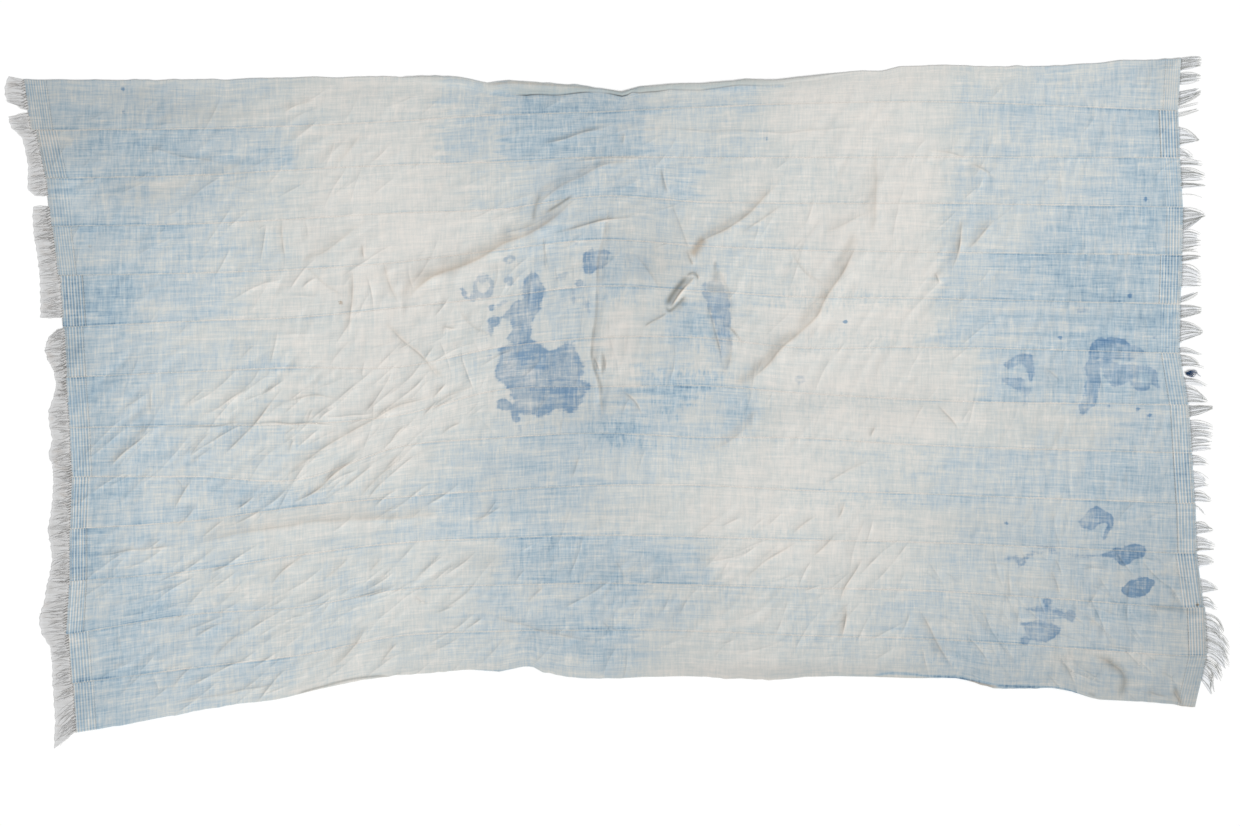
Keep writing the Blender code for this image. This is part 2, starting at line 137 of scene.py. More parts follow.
# the main folds by area: height and width on the shade side and on the lit side in millimetres, the
# shift toward the light and the places along the fold in pixels
seenRidges = {
    "left": (
        (4, 9, 18, 2, ((383,258), (387,285), (398,305))),
        (4, 8, 16, 2, ((353,262), (350,300), (345,340))),
        (3.5, 12, 26, 2, ((300,262), (340,240), (362,222))),
        (3, 7, 12, 1, ((362,240), (365,258))),
        (3, 8, 14, 2, ((281,210), (282,240), (284,268))),
        (4.5, 6, 5, 0, ((108,470), (130,448), (155,427))),
        (4, 7, 10, 0, ((218,462), (240,440), (262,415), (285,383))),
        (2.5, 7, 10, 0, ((190,460), (213,428))),
        (2.5, 7, 10, 0, ((200,415), (225,405), (253,383))),
        (2.5, 6, 9, 0, ((240,362), (258,345))),
        (2.5, 6, 10, 1, ((152,385), (152,415))),
        (3, 8, 12, 0, ((320,97), (280,115))),
        (2.5, 14, 20, 2, ((365,125), (330,165))),
        (3.5, 7, 14, 1, ((385,322), (400,337), (415,350), (425,360), (434,374), (447,382))),
        (3, 7, 12, 1, ((447,382), (440,390), (430,400))),
        (2.5, 6, 10, 1, ((440,325), (458,328))),
        (2, 6, 9, 0, ((130,145), (180,155), (240,165))),
    ),
    "leftFan": (
        (4, 9, 18, 1, ((288,476), (310,456), (332,442), (350,430), (380,414), (412,400), (438,396))),
        (6, 8, 12, 1, ((284,503), (300,498), (318,488), (325,481), (345,465), (362,451))),
        (2.5, 5, 12, 0, ((166,431), (210,426), (259,422), (300,424), (355,425))),
        (3, 6, 12, 0, ((271,404), (300,399), (326,396), (348,402))),
        (3, 6, 10, 0, ((422,416), (431,407), (440,399))),
        (2.5, 6, 10, 0, ((425,414), (446,403), (467,390))),
        (2.5, 6, 10, 0, ((175,529), (188,517), (198,502))),
        (2.5, 7, 9, 0, ((170,518), (180,502), (188,486), (198,473))),
        (2.5, 6, 9, 0, ((89,559), (120,551), (156,547), (188,545))),
        (2, 5, 8, 0, ((283,437), (291,430), (300,424))),
        (2, 5, 7, 0, ((290,456), (292,445), (297,436))),
        (2.5, 5, 8, 0, ((340,492), (358,477), (376,463))),
        (2.5, 6, 9, 0, ((366,501), (376,489), (388,479))),
        (2.5, 5, 8, 0, ((383,472), (394,461), (402,453))),
        (2, 4, 6, 0, ((307,426), (311,416), (316,409))),
        (3, 8, 14, 1, ((420,417), (440,400), (478,382))),
        (2.5, 7, 12, 1, ((405,425), (390,443))),
        (2.5, 7, 12, 1, ((440,435), (462,420))),
        (3, 8, 14, 1, ((355,500), (380,475), (410,450))),
        (4.5, 24, 20, 0, ((190,545), (250,532), (320,520), (400,517), (450,515))),
        (2.5, 8, 12, 0, ((140,552), (165,535))),
        (2.5, 8, 12, 0, ((200,540), (225,520))),
        (3.5, 7, 10, 0, ((234,511), (246,503), (258,494))),
        (2.5, 7, 12, 0, ((473,521), (490,513), (505,507))),
        (2.5, 8, 12, 0, ((500,498), (475,525))),
    ),
    "lowerLeft": (
        (3.5, 9, 16, 1, ((265,595), (275,575), (295,560), (320,548))),
        (3.5, 10, 16, 1, ((330,670), (350,650), (368,625))),
        (3, 9, 14, 1, ((318,583), (335,570), (350,555))),
        (3, 9, 14, 1, ((370,572), (385,555))),
        (3, 9, 14, 1, ((210,660), (230,640), (250,625))),
        (2.5, 9, 14, 1, ((170,690), (185,670), (200,660))),
        (2.5, 8, 12, 1, ((190,640), (210,625), (240,618))),
        (2.5, 8, 12, 0, ((380,665), (400,640))),
        (3, 9, 16, 1, ((480,612), (520,625), (545,630), (600,645))),
        (2.5, 8, 12, 1, ((345,600), (380,590), (402,583))),
        (2, 6, 9, 1, ((412,595), (425,605), (430,600))),
        (2.5, 8, 12, 1, ((525,605), (545,585))),
        (2, 7, 10, 1, ((600,620), (620,632))),
        (2.5, 6, 8, 0, ((165,705), (230,693), (300,680))),
    ),
    "centre": (
        (9, 20, 30, 5, ((398,303), (420,275), (470,258), (500,243), (540,222), (572,196))),
        (5, 14, 30, 2, ((540,222), (535,205), (543,193), (575,178), (600,165), (640,158))),
        (4, 5, 14, 1, ((549,234), (580,226), (610,218), (640,215))),
        (3.2, 5, 12, 1, ((536,144), (560,139), (580,133), (610,127))),
        (1.1, 5, 14, 1, ((600,128), (680,129), (760,134), (860,128))),
        (2.5, 6, 18, 1, ((560,165), (600,158), (660,158))),
        (2, 5, 8, 1, ((545,235), (543,250), (547,275))),
        (3, 6, 14, 1, ((660,166), (662,180), (667,195))),
        (2, 8, 18, 1, ((668,196), (680,222), (691,256))),
        (3, 6, 10, 0, ((620,385), (635,400), (645,420))),
        (3.5, 6, 8, 0, ((594,356), (597,364), (599,374))),
        (3, 5, 7, 0, ((603,352), (606,362), (605,374))),
        (2.5, 6, 10, 0, ((580,455), (572,480))),
        (2.5, 6, 10, 0, ((617,560), (625,580))),
        (2.5, 14, 9, 0, ((715,260), (723,277), (730,296), (731,312), (729,325))),
        (2.5, 12, 7, 0, ((727,330), (733,345), (729,366), (724,378))),
        (2.5, 5, 9, 0, ((703,290), (712,318), (718,337), (721,352), (724,376))),
        (3, 4.5, 7, 0, ((722,328), (729,325), (741,341))),
        (2.5, 5, 7, 0, ((626,131), (624,145))),
    ),
    "pinch": (
        (7.5, 6, 6, 0, ((696,276), (690,282), (681,291), (675,299), (670,307))),
        (3, 4, 5, 0, ((686,276), (692,272), (698,274), (700,280))),
        (2.5, 5, 12, 0, ((667,312), (660,318), (651,322), (644,327))),
        (3, 6, 6, 0, ((687,250), (690,257), (693,265))),
    ),
    "right": (
        (7, 12, 26, 2, ((686,250), (700,240), (720,230), (745,215), (760,200), (783,175))),
        (3.5, 10, 18, 0, ((740,235), (785,205))),
        (7, 13, 28, 3, ((860,232), (850,250), (842,270), (836,280), (820,300), (815,315), (795,333),
            (778,348), (768,362), (748,380), (735,385))),
        (4.5, 20, 26, 1, ((875,150), (876,180), (874,200), (872,240))),
        (2.5, 12, 20, 0, ((873,213), (820,235))),
        (3, 16, 26, 2, ((757,410), (740,430), (720,445), (700,452))),
        (5, 8, 20, 2.5, ((962,215), (960,245), (948,275))),
        (5, 9, 22, 2.5, ((994,215), (975,240), (962,252))),
        (3, 6, 12, 0, ((936,270), (940,285))),
        (2, 6, 14, 0, ((925,150), (970,160))),
        (3, 8, 16, 0, ((970,163), (998,180))),
        (2, 5, 10, 1, ((1040,362), (1062,382))),
        (2.5, 7, 12, 0, ((935,400), (960,435))),
        (3, 5, 8, 1, ((875,425), (869,437))),
        (3.5, 7, 12, 1, ((845,497), (841,510), (835,520))),
        (3, 8, 14, 1, ((838,530), (825,548), (808,560))),
        (3.5, 8, 16, 1, ((862,557), (850,578), (843,588), (838,605))),
        (3, 8, 16, 1, ((818,513), (790,535))),
        (3, 8, 16, 1, ((800,540), (770,558), (740,580))),
        (2.5, 8, 14, 0, ((875,458), (850,472), (820,485))),
        (4, 7, 12, 1, ((845,605), (846,618), (840,640))),
    ),
    "lowerRight": (
        (4.5, 10, 18, 1, ((915,605), (930,630), (950,665), (955,675))),
        (3, 10, 14, 0, ((1080,610), (1100,628), (1120,645))),
        (4, 10, 14, 0, ((1080,650), (1110,661), (1125,675), (1122,700))),
        (2.5, 7, 10, 0, ((1145,690), (1170,697))),
        (3, 7, 10, 0, ((1172,688), (1185,705))),
        (2.5, 8, 12, 0, ((1052,572), (1058,585), (1060,600))),
    ),
}
ridges = {
    area: [(*sizes, photoLine(line, shift)) for *sizes, shift, line in folds]
    for area, folds in seenRidges.items()
}
# the troughs: depth and the widths to both sides in millimetres, then the places in pixels
seenValleys = (
    (4, 7, 9, ((610,200), (606,235), (598,270), (597,300), (594,340), (592,362), (598,380), (601,395),
        (602,430))),
    (3.5, 5, 6, ((601,350), (602,365), (602,378))),
    (5, 4, 4.5, ((687,294), (682,301), (675,308), (669,311), (666,306))),
    (2, 7, 9, ((300,262), (330,290), (352,300))),
    (2, 8, 8, ((455,300), (470,325), (500,340))),
    (2, 7, 9, ((790,240), (800,270), (830,290))),
    (2, 7, 9, ((630,250), (650,270), (662,290))),
)
valleys = [(*sizes, photoLine(line)) for *sizes, line in seenValleys]

# outlines of the stains: strength, softness of the edge, places in pixels
seenOutlines = (
    (0.72, 1.2, ((531,272), (537,274), (541,280), (545,288), (544,298), (541,304), (541,311), (536,318),
        (531,323), (530,331), (528,342), (513,344), (505,340), (512,331), (512,324), (508,320), (500,318),
        (505,313), (510,308), (513,302), (518,299), (526,297), (520,294), (520,289), (526,284),
        (527,277))),
    (0.81, 1.7, ((500,350), (506,344), (523,341), (534,342), (540,344), (545,350), (551,352), (556,350),
        (559,344), (568,342), (576,341), (578,352), (582,361), (583,369), (581,377), (584,382), (592,387),
        (585,391), (586,394), (581,401), (578,407), (573,410), (559,409), (551,409), (549,414), (538,418),
        (531,416), (523,413), (516,411), (512,404), (518,401), (512,398), (508,393), (507,386), (500,382),
        (494,377), (494,373), (497,365), (499,357))),
    (0.72, 1.1, ((585,250), (590,249), (592,246), (594,250), (600,250), (606,249), (612,253), (608,259),
        (608,265), (602,268), (598,267), (594,270), (591,275), (587,275), (584,271), (583,262))),
    (0.5, 1.4, ((715,261), (719,271), (721,279), (725,287), (729,301), (731,311), (730,323), (728,328),
        (730,335), (733,346), (731,356), (728,370), (726,377), (722,369), (721,352), (718,337), (713,320),
        (708,305), (703,290), (704,283), (710,282), (712,276))),
    (0.52, 0.9, ((1089,349), (1091,345), (1095,342), (1099,338), (1105,340), (1112,337), (1118,339),
        (1126,341), (1129,345), (1137,346), (1142,349), (1143,354), (1141,358), (1113,360), (1089,358))),
    (0.56, 0.9, ((1089,356), (1098,358), (1100,368), (1100,386), (1098,393), (1096,400), (1095,405),
        (1090,408), (1085,412), (1081,416), (1078,408), (1080,403), (1083,393), (1084,387), (1087,380),
        (1086,374), (1084,366), (1087,361))),
    (0.5, 0.9, ((1098,359), (1110,360), (1122,364), (1131,363), (1138,366), (1144,365), (1151,367),
        (1157,371), (1156,378), (1159,382), (1161,389), (1155,388), (1153,383), (1150,384), (1149,388),
        (1145,391), (1139,392), (1135,389), (1131,388), (1130,382), (1127,382), (1123,385), (1116,387),
        (1110,386), (1108,382), (1103,376), (1100,368))),
    (0.54, 1.1, ((1003,363), (1008,360), (1014,357), (1020,354), (1030,354), (1033,359), (1034,372),
        (1032,382), (1029,384), (1028,374), (1026,366), (1019,364), (1012,367), (1006,369))),
    (0.52, 1.1, ((1003,378), (1014,377), (1022,378), (1026,383), (1024,388), (1020,391), (1013,388),
        (1008,385), (1003,382))),
    (0.66, 0.9, ((1093,508), (1097,506), (1100,509), (1109,513), (1113,517), (1114,523), (1112,527),
        (1109,530), (1107,538), (1102,542), (1101,538), (1104,532), (1107,527), (1108,523), (1102,524),
        (1098,525), (1095,527), (1093,530), (1090,530), (1087,527), (1082,527), (1079,524), (1080,519),
        (1084,514), (1088,510))),
    (0.86, 0.9, ((1098,556), (1104,553), (1112,550), (1115,548), (1128,546), (1131,544), (1139,544),
        (1145,546), (1146,551), (1143,556), (1136,559), (1130,562), (1124,566), (1119,565), (1115,561),
        (1111,560), (1113,557), (1106,557))),
    (1.25, 0.9, ((1139,577), (1145,576), (1149,578), (1155,580), (1154,585), (1151,589), (1146,594),
        (1140,597), (1132,598), (1126,596), (1121,593), (1121,588), (1127,583), (1132,580))),
    (0.62, 1.1, ((1026,624), (1032,620), (1039,618), (1048,623), (1060,627), (1061,631), (1057,635),
        (1053,638), (1049,640), (1047,643), (1040,643), (1035,641), (1029,638), (1025,634), (1024,628))),
)
stainOutlines = [(strength, softness, photoLine(line)) for strength, softness, line in seenOutlines]
# stain spots in pixels: centre, half sizes, turn in degrees, share that is hollow, strength
seenSpots = (
    (494,321,6,5,0,0,0.9), (505,303,7,2.5,20,0,0.5), (504,405,7,5,-15,0,0.72), (512,409,12,2,0,0,0.8),
    (515,417,3.5,9,15,0,0.75), (520,428,2.2,3.5,0,0,0.5), (491,307,3,2.5,0,0,0.7),
    (490,329,2.5,4,0,0.4,0.5), (491,335,1.6,1.3,0,0,1.2), (490,358,2.5,3,0,0,0.35),
    (487,340,1.2,4,0,0,0.4), (574,300,1.6,5,0,0,0.4), (588,308,2.5,8,18,0,0.35),
    (576,244,1.3,1.7,0,0,1.5), (580,283,4.5,4,-30,0,0.7), (563,275,7,3,35,0,0.42), (560,280,5,2,0,0,0.3),
    (483,286,10,13,0,0.6,0.45), (482,280,4,5,0,0,0.45), (490,294,3,5,-10,0,0.8), (474,298,4,4,0,0,0.5),
    (464,293,1.8,4,25,0,0.7), (510,260,6,4.5,20,0.55,0.5), (509,281,4.5,4,0,0.5,0.45),
    (1027,391,5,4,0,0,0.45), (1026,399,4,6,0,0,0.25), (1059,338,1.5,1.5,0,0,1.3),
    (1109,405.5,1.6,1.3,0,0,1.1), (1137,410,1.5,1.3,0,0,0.8), (1150,415.5,3,2.2,0,0,1.2),
    (1167,347,1.3,1.3,0,0,0.9), (1154,337,1.5,1.5,0,0,0.7), (1085,556,20,1.3,-3,0,0.6),
    (1025,640,4.5,5.5,0,0,0.75), (1047,602,5,4,0,0,0.85), (1044,609,10,1.8,0,0,0.6),
    (1058,613.5,8,2.6,-10,0,0.7), (1070,615,5,6,0,0.2,0.5), (1046,616,12,5,-12,0,0.42),
    (1024,624,3,1.4,0,0,0.6), (1045,548,7,1.8,5,0,0.6), (1043,552.5,9,1.5,5,0,0.8),
    (1032,553,5,1.8,10,0,0.5), (1026,557,4,2,15,0,0.6), (1015,557,6,1.4,0,0,0.5),
    (1021,562,4.5,4,0,0.25,0.7), (1019,567,1.4,2,0,0,0.6), (800,380,5,4,0,0.5,0.3),
    (830,408,3,3,0,0.4,0.25), (1081,310,5,2.5,0,0,0.45), (123,89,2,2,0,0,1.2),
    (123.5,111.5,1.3,1.3,0,0,1.2), (766,139,1.6,1.4,0,0,1.3), (1145,199,1.3,1.3,0,0,1.1),
    (1130,296,1.3,1.3,0,0,0.9), (845,322,1.4,1.4,0,0,1.0), (1006,523,1.8,1.3,0,0,1.3),
    (341,303,1.6,1.4,0,0,-1), (90,246,1.5,1.2,0,0,-0.7), (1197,604,1.4,1.2,0,0,-0.8),
)
stainSpots = photoAreas(seenSpots, 1)
# where stains are stronger or weaker, in pixels: centre, half sizes, turn in degrees, how much
seenShades = (
    (538,299,6,7,0,0.35), (532,303,8,5,0,0.2), (527,337,5,4,0,0.25), (533,284,6,6,0,-0.05),
    (517,312,8,6,0,-0.05), (530,354,12,7,0,0.42), (540,350,6,6,0,0.2), (528,358,10,2.5,0,0.2),
    (558,356,4,8,0,0.28), (578,362,3,10,0,0.2), (560,378,12,4,0,0.3), (549,384,5,4,0,0.25),
    (545,393,7,7,0,0.35), (555,391,12,2.4,0,0.35), (574,399,8,6,0,0.22), (560,405,12,2,0,0.2),
    (538,414,8,3,0,0.2), (528,364,30,3,0,0.1), (511,386,4,8,0,0.15), (508,362,8,10,0,-0.18),
    (530,381,18,6,0,-0.07), (570,360,6,10,0,-0.14), (530,403,15,3.5,0,-0.42), (562,400,6,2,0,-0.1),
    (583,375,4,8,0,-0.1), (587,256,3,8,0,0.35), (588,266,4,5,0,0.2), (603,255,3,5,0,0.12),
    (597,258,2,8,0,-0.14), (715,272,10,12,0,-0.5), (716,289,12,5,0,-0.12), (722,318,7,10,0,0.26),
    (727,362,8,17,0,-0.4), (727,326,3,3,0,0.3), (1096,345,9,4,20,0.35), (1112,341,12,2.6,-4,0.55),
    (1124,343,5,2.6,-25,0.55), (1092,350,4,8,0,0.3), (1112,351,12,4,0,-0.15), (1137,352,4,3,0,-0.3),
    (1104,358.5,16,1.4,0,0.3), (1081,411,4,5,0,0.2), (1093,361,6,3,0,0.2), (1095,397,3,8,0,0.18),
    (1144,378,6,5,0,-1.1), (1116,384,8,3,0,0.2), (1133,372,4,6,0,0.25), (1135,386,4,4,0,0.2),
    (1143,389.5,5,2.5,0,0.25), (1154,374,3,5,0,0.2), (1112,370,9,8,0,0.12), (1158,386,3,4,0,0.12),
    (1026,357,6,3,0,0.4), (1007,363,4,3,0,0.25), (1031,372,2,10,0,0.15), (1018,361,6,3,0,-0.1),
    (1100,523,11,2,4,0.5), (1096,507,3,2,0,0.3), (1086,521,5,3.5,0,-0.2), (1112,521,2,6,0,0.3),
    (1108,528,2,4,0,0.2), (1118,555,12,3,10,0.3), (1120,562,7,3,0,0.3), (1138,550,5,3,0,-0.28),
    (1144,549,1.8,4,0,0.2), (1133,545,6,1.5,0,0.25), (1127,588,4,4,0,-0.35), (1133,597,9,2,0,0.2),
    (1144,585,6,6,0,0.2), (1054,634,6,4,45,0.45), (1043,642,6,1.8,0,0.45), (1030,622,7,2.5,0,0.35),
    (1040,630,8,5,0,-0.12),
)
stainShades = photoAreas(seenShades, 1)

# dye that keeps to whole strips: first and last strip, pixel columns where it starts and ends, level,
# and the pixels over which it starts and ends
seenStripDye = (
    (1,1,50,180,0.1,25), (2,2,60,300,0.16,60), (2,2,80,290,0.26,30), (3,3,60,150,0.2,30),
    (3,3,180,240,0.12,14), (4,4,90,190,0.12,30), (5,5,64,138,0.5,9), (5,5,138,250,0.12,50),
    (6,6,70,130,0.2,30), (6,6,210,280,0.14,25), (7,7,72,112,0.22,12), (8,8,200,300,0.1,30),
    (9,9,72,130,0.14,12), (9,9,180,330,0.16,60), (10,10,75,102,0.4,5), (10,10,180,260,0.1,30),
    (11,11,110,175,0.22,25), (12,12,95,165,0.24,20), (12,12,180,230,0.1,20), (13,13,72,128,0.24,15),
    (13,13,180,290,0.2,40), (1,2,440,482,0.3,12), (1,2,500,645,0.42,14), (1,2,645,760,0.26,40),
    (2,3,470,650,0.14,40), (3,3,560,700,0.2,40), (4,4,560,690,0.1,40), (3,3,635,690,0.2,20),
    (1,1,955,1185,0.16,50), (2,2,960,1185,0.24,50), (3,3,940,1185,0.26,40), (3,3,1100,1185,0.12,25),
    (4,4,935,1185,0.3,30), (4,4,1060,1185,0.22,30), (5,5,940,1186,0.5,14), (5,5,1010,1186,0.25,40),
    (6,6,935,1186,0.38,20), (6,6,1030,1186,0.2,40), (7,7,985,1190,0.3,25), (7,7,985,1035,0.1,10),
    (8,8,1100,1190,0.14,30), (9,9,925,1192,0.28,30), (9,9,1100,1192,0.1,20), (10,10,890,1195,0.22,50),
    (11,11,900,1196,0.18,60), (12,12,880,1200,0.26,60), (13,13,780,920,0.16,40), (13,13,930,1040,0.34,30),
    (11,11,505,712,0.34,12), (11,11,520,582,0.22,8), (11,11,640,690,0.16,8), (12,12,480,735,0.2,40),
    (13,13,500,640,0.16,40), (12,13,592,640,0.12,12), (9,9,440,700,0.12,60), (8,8,560,660,0.16,40),
    (10,10,380,540,0.16,30), (9,9,700,780,0.05,30), (12,12,300,360,0.14,20), (11,11,330,420,0.1,30),
    (4,4,90,230,0.16,30), (5,5,140,230,0.12,30), (7,7,985,1190,0.14,25), (10,10,440,560,0.16,30),
    (9,9,430,560,0.1,40),
)
stripDye = [
    (first, last, photoX(start), photoX(end), level, photoSize(soft))
    for first, last, start, end, level, soft in seenStripDye
]
# dye that runs over the seams, in pixels: centre, half sizes, level
seenSoftDye = (
    (40,400,200,900,0.6), (1200,400,190,900,0.48), (575,400,105,330,0.26), (570,110,120,60,0.25),
    (575,590,130,70,0.12), (420,560,70,120,0.13), (330,590,60,60,0.08), (1000,640,90,60,0.1),
    (850,620,80,50,0.1), (90,150,35,40,0.1), (235,162,40,16,0.2), (640,190,60,30,0.14),
    (670,185,25,25,0.2), (690,320,28,24,0.62), (674,391,19,14,0.85), (661,410,24,24,0.3),
    (692,352,13,16,-0.18), (716,344,9,9,0.25), (700,432,34,12,0.2), (612,586,16,24,0.2),
    (802,628,18,14,0.24), (578,332,22,18,0.16), (528,368,14,12,0.18), (156,320,18,14,0.14),
    (74,140,22,12,0.16), (560,100,46,12,0.12), (1170,590,14,12,0.16), (150,250,14,10,0.14),
    (585,243,14,10,0.14), (1155,480,12,12,-0.12), (1103,436,16,14,-0.1), (700,552,14,20,-0.1),
    (575,472,40,8,-0.1), (490,508,60,6,-0.09), (665,612,28,24,-0.08), (735,650,30,12,-0.1),
    (900,505,22,8,-0.1), (900,605,16,18,-0.1), (230,202,26,8,-0.14), (98,226,30,7,-0.12),
    (170,150,20,10,-0.08), (545,140,36,12,-0.1), (705,112,28,12,-0.08), (1008,680,18,10,-0.12),
    (206,542,12,16,-0.1), (860,460,50,22,0.1), (1110,405,60,10,0.1), (1125,510,18,26,0.12),
    (1120,150,30,40,0.06), (677,362,9,20,0.35), (649,372,7,12,0.35), (622,390,18,8,-0.15),
    (690,352,12,12,-0.15), (686,414,12,8,-0.2), (705,383,16,10,0.7), (677,398,12,14,0.5),
    (620,436,24,6,0.8), (628,418,11,14,0.5), (560,445,60,22,0.2), (735,408,18,22,0.5),
    (700,350,20,14,0.25), (497,140,3,60,-0.22), (727,112,2.5,34,-0.16), (588,110,2.5,30,-0.12),
    (700,620,45,35,0.12), (280,370,40,10,0.2), (300,492,110,14,0.2), (900,480,40,14,0.1),
    (960,110,60,30,0.05), (800,180,60,18,0.08), (850,300,90,6,0.2), (860,342,100,5,0.18),
    (850,405,80,7,0.18), (870,448,90,6,0.22), (860,497,100,6,0.22), (760,540,70,7,0.16),
    (760,590,60,7,0.2), (800,300,60,5,0.12), (1110,560,60,20,0.1), (620,265,50,18,0.1),
    (610,292,40,6,0.3), (560,120,90,26,0.1), (1000,694,90,6,0.4), (980,640,40,18,0.15),
    (150,610,36,20,0.12), (95,710,30,14,0.12), (70,560,50,190,0.14), (170,200,60,60,0.1),
    (170,545,50,90,0.1), (120,640,120,50,0.12), (300,650,120,30,0.1), (520,470,90,60,0.14),
    (560,590,80,70,0.14), (480,640,120,30,0.16), (700,640,120,30,0.14), (640,430,70,60,0.14),
    (740,400,40,50,0.16), (700,250,80,40,0.12), (640,240,60,40,0.08), (580,220,60,50,0.12),
    (300,100,130,32,0.12), (620,120,40,45,-0.12), (675,150,36,60,-0.06), (625,183,32,24,-0.1),
    (775,165,70,80,0.1), (740,250,50,50,0.07), (1160,130,35,70,0.14), (1060,115,70,40,0.06),
    (140,227,45,20,0.12), (545,250,38,42,0.12), (560,300,34,40,0.13), (640,268,45,10,0.16),
    (225,271,40,16,0.1), (460,360,22,20,0.1), (618,345,26,40,-0.26), (540,404,34,18,-0.06),
    (560,448,70,16,-0.1), (700,404,30,20,0.06), (100,448,60,22,0.08), (300,448,50,15,0.08),
    (940,493,35,16,0.1), (60,590,30,34,0.08), (465,590,46,26,-0.08), (220,627,50,18,0.08),
    (1040,628,36,26,-0.12), (1150,640,40,40,-0.1), (625,580,62,24,0.16), (690,632,50,24,-0.08),
    (1100,215,40,26,-0.1), (1085,365,36,30,-0.08), (930,460,30,14,-0.1), (1100,430,26,14,-0.1),
    (120,690,80,26,0.14), (660,390,30,14,0.2), (672,396,16,10,0.45), (704,382,12,9,0.28),
    (628,432,20,6,0.35), (622,441,20,6,0.16), (630,428,18,6,0.3), (692,326,26,15,0.3), (660,379,22,5,0.2),
    (940,656,34,8,0.3), (530,365,14,12,0.1), (735,430,60,36,0.1), (600,420,30,20,0.06),
    (170,255,80,20,0.05), (100,400,60,24,0.07), (170,655,130,30,0.05), (1060,140,110,26,0.05),
    (1080,392,90,22,0.04), (430,500,90,24,0.05), (560,640,90,26,0.06), (770,560,90,60,0.04),
    (160,330,80,26,0.05), (150,460,60,26,0.04), (820,600,60,30,0.1), (980,490,50,30,0.16),
    (560,500,50,30,0.12), (260,320,40,30,-0.1), (1120,320,60,30,-0.1), (340,500,40,20,-0.08),
    (285,197,50,20,0.13), (120,203,44,18,0.11), (200,402,100,18,0.07), (190,452,110,18,0.05),
    (190,502,110,18,0.04), (160,607,80,18,0.06), (1030,132,70,16,0.05), (300,115,50,14,0.05),
    (350,175,50,14,0.05), (330,530,30,90,0.06), (250,435,24,30,0.05), (64,450,12,300,0.1),
    (80,128,26,14,0.1), (755,200,46,110,0.07), (745,275,30,40,0.06), (530,335,30,36,0.07),
    (722,310,10,26,0.15), (110,105,60,14,0.1), (590,600,110,46,-0.09), (600,405,34,20,-0.14),
    (925,500,40,14,-0.1), (1095,458,24,22,-0.08), (1152,470,14,14,-0.1), (945,320,16,20,-0.1),
    (515,570,18,60,-0.12), (705,600,20,46,-0.14), (620,536,40,8,-0.15), (480,615,20,20,-0.1),
    (390,650,30,20,-0.08), (665,200,30,50,-0.07), (1085,215,26,14,-0.08), (1165,205,14,14,-0.1),
    (990,370,10,14,-0.1), (1035,380,12,12,-0.08), (1095,370,22,22,-0.06), (945,290,12,50,-0.1),
    (1090,545,10,20,-0.1), (1085,635,16,16,-0.08), (1005,672,26,12,-0.12), (935,455,14,14,-0.1),
    (140,550,40,14,0.06), (300,540,14,30,0.1), (560,220,30,30,0.06), (660,275,24,8,0.12),
    (750,270,40,24,0.08), (535,365,12,12,0.1), (1015,340,12,10,0.12), (950,615,12,12,0.12),
    (1170,585,16,14,0.16), (985,225,12,30,0.08), (270,305,30,10,0.1), (250,400,26,16,0.07),
    (1060,382,60,12,-0.05), (230,330,60,30,-0.06), (650,190,40,40,-0.04), (570,475,40,14,-0.08),
    (1090,640,40,16,-0.07), (260,365,40,8,-0.06),
)
softDye = photoAreas(seenSoftDye)
# darker areas, greyer cloth in places and painted shade in others, such as near the borders and where the
# bottom edge curls down, in pixels: centre, half sizes, amount
seenGreyAndShade = (
    (50,70,260,160,0.085), (45,400,75,420,0.06), (1200,700,290,200,0.12), (1215,400,70,420,0.025),
    (700,710,340,75,0.055), (580,70,200,95,0.05), (625,280,130,170,0.035), (140,95,50,24,0.025),
    (1100,300,60,50,0.015), (580,415,80,34,0.03), (850,406,200,22,0.02), (540,480,90,40,0.035),
    (600,570,120,34,0.045), (680,600,90,30,0.03), (580,630,130,20,0.02), (1070,632,80,30,-0.03),
    (650,262,42,16,0.03), (675,150,40,60,-0.02), (180,640,120,60,0.015), (75,205,25,40,-0.03),
    (370,510,60,30,-0.02), (370,570,50,30,-0.01), (100,705,50,22,0.035), (1070,430,60,20,0.018),
    (980,528,80,18,0.015), (610,512,90,18,0.02), (600,652,100,14,0.027), (1060,378,20,16,0.02),
    (1172,85,18,34,0.05), (110,105,60,14,-0.03), (620,345,30,14,0.02), (150,190,60,16,0.03),
    (178,112,70,12,0.04), (215,168,30,10,0.04), (72,190,20,20,-0.04), (500,238,60,14,-0.05),
    (780,280,70,26,-0.03), (70,520,14,110,-0.05), (60,610,14,30,-0.05), (70,350,14,14,0.05),
    (480,560,30,10,0.03), (650,250,40,50,0.02), (1150,660,40,30,-0.03), (780,672,150,10,0.04),
    (500,668,60,8,0.02), (150,84,100,8,-0.03), (690,88,70,7,-0.05), (450,84,60,6,-0.03),
    (560,88,50,6,-0.03),
)
greyAndShadeAreas = photoAreas(seenGreyAndShade)
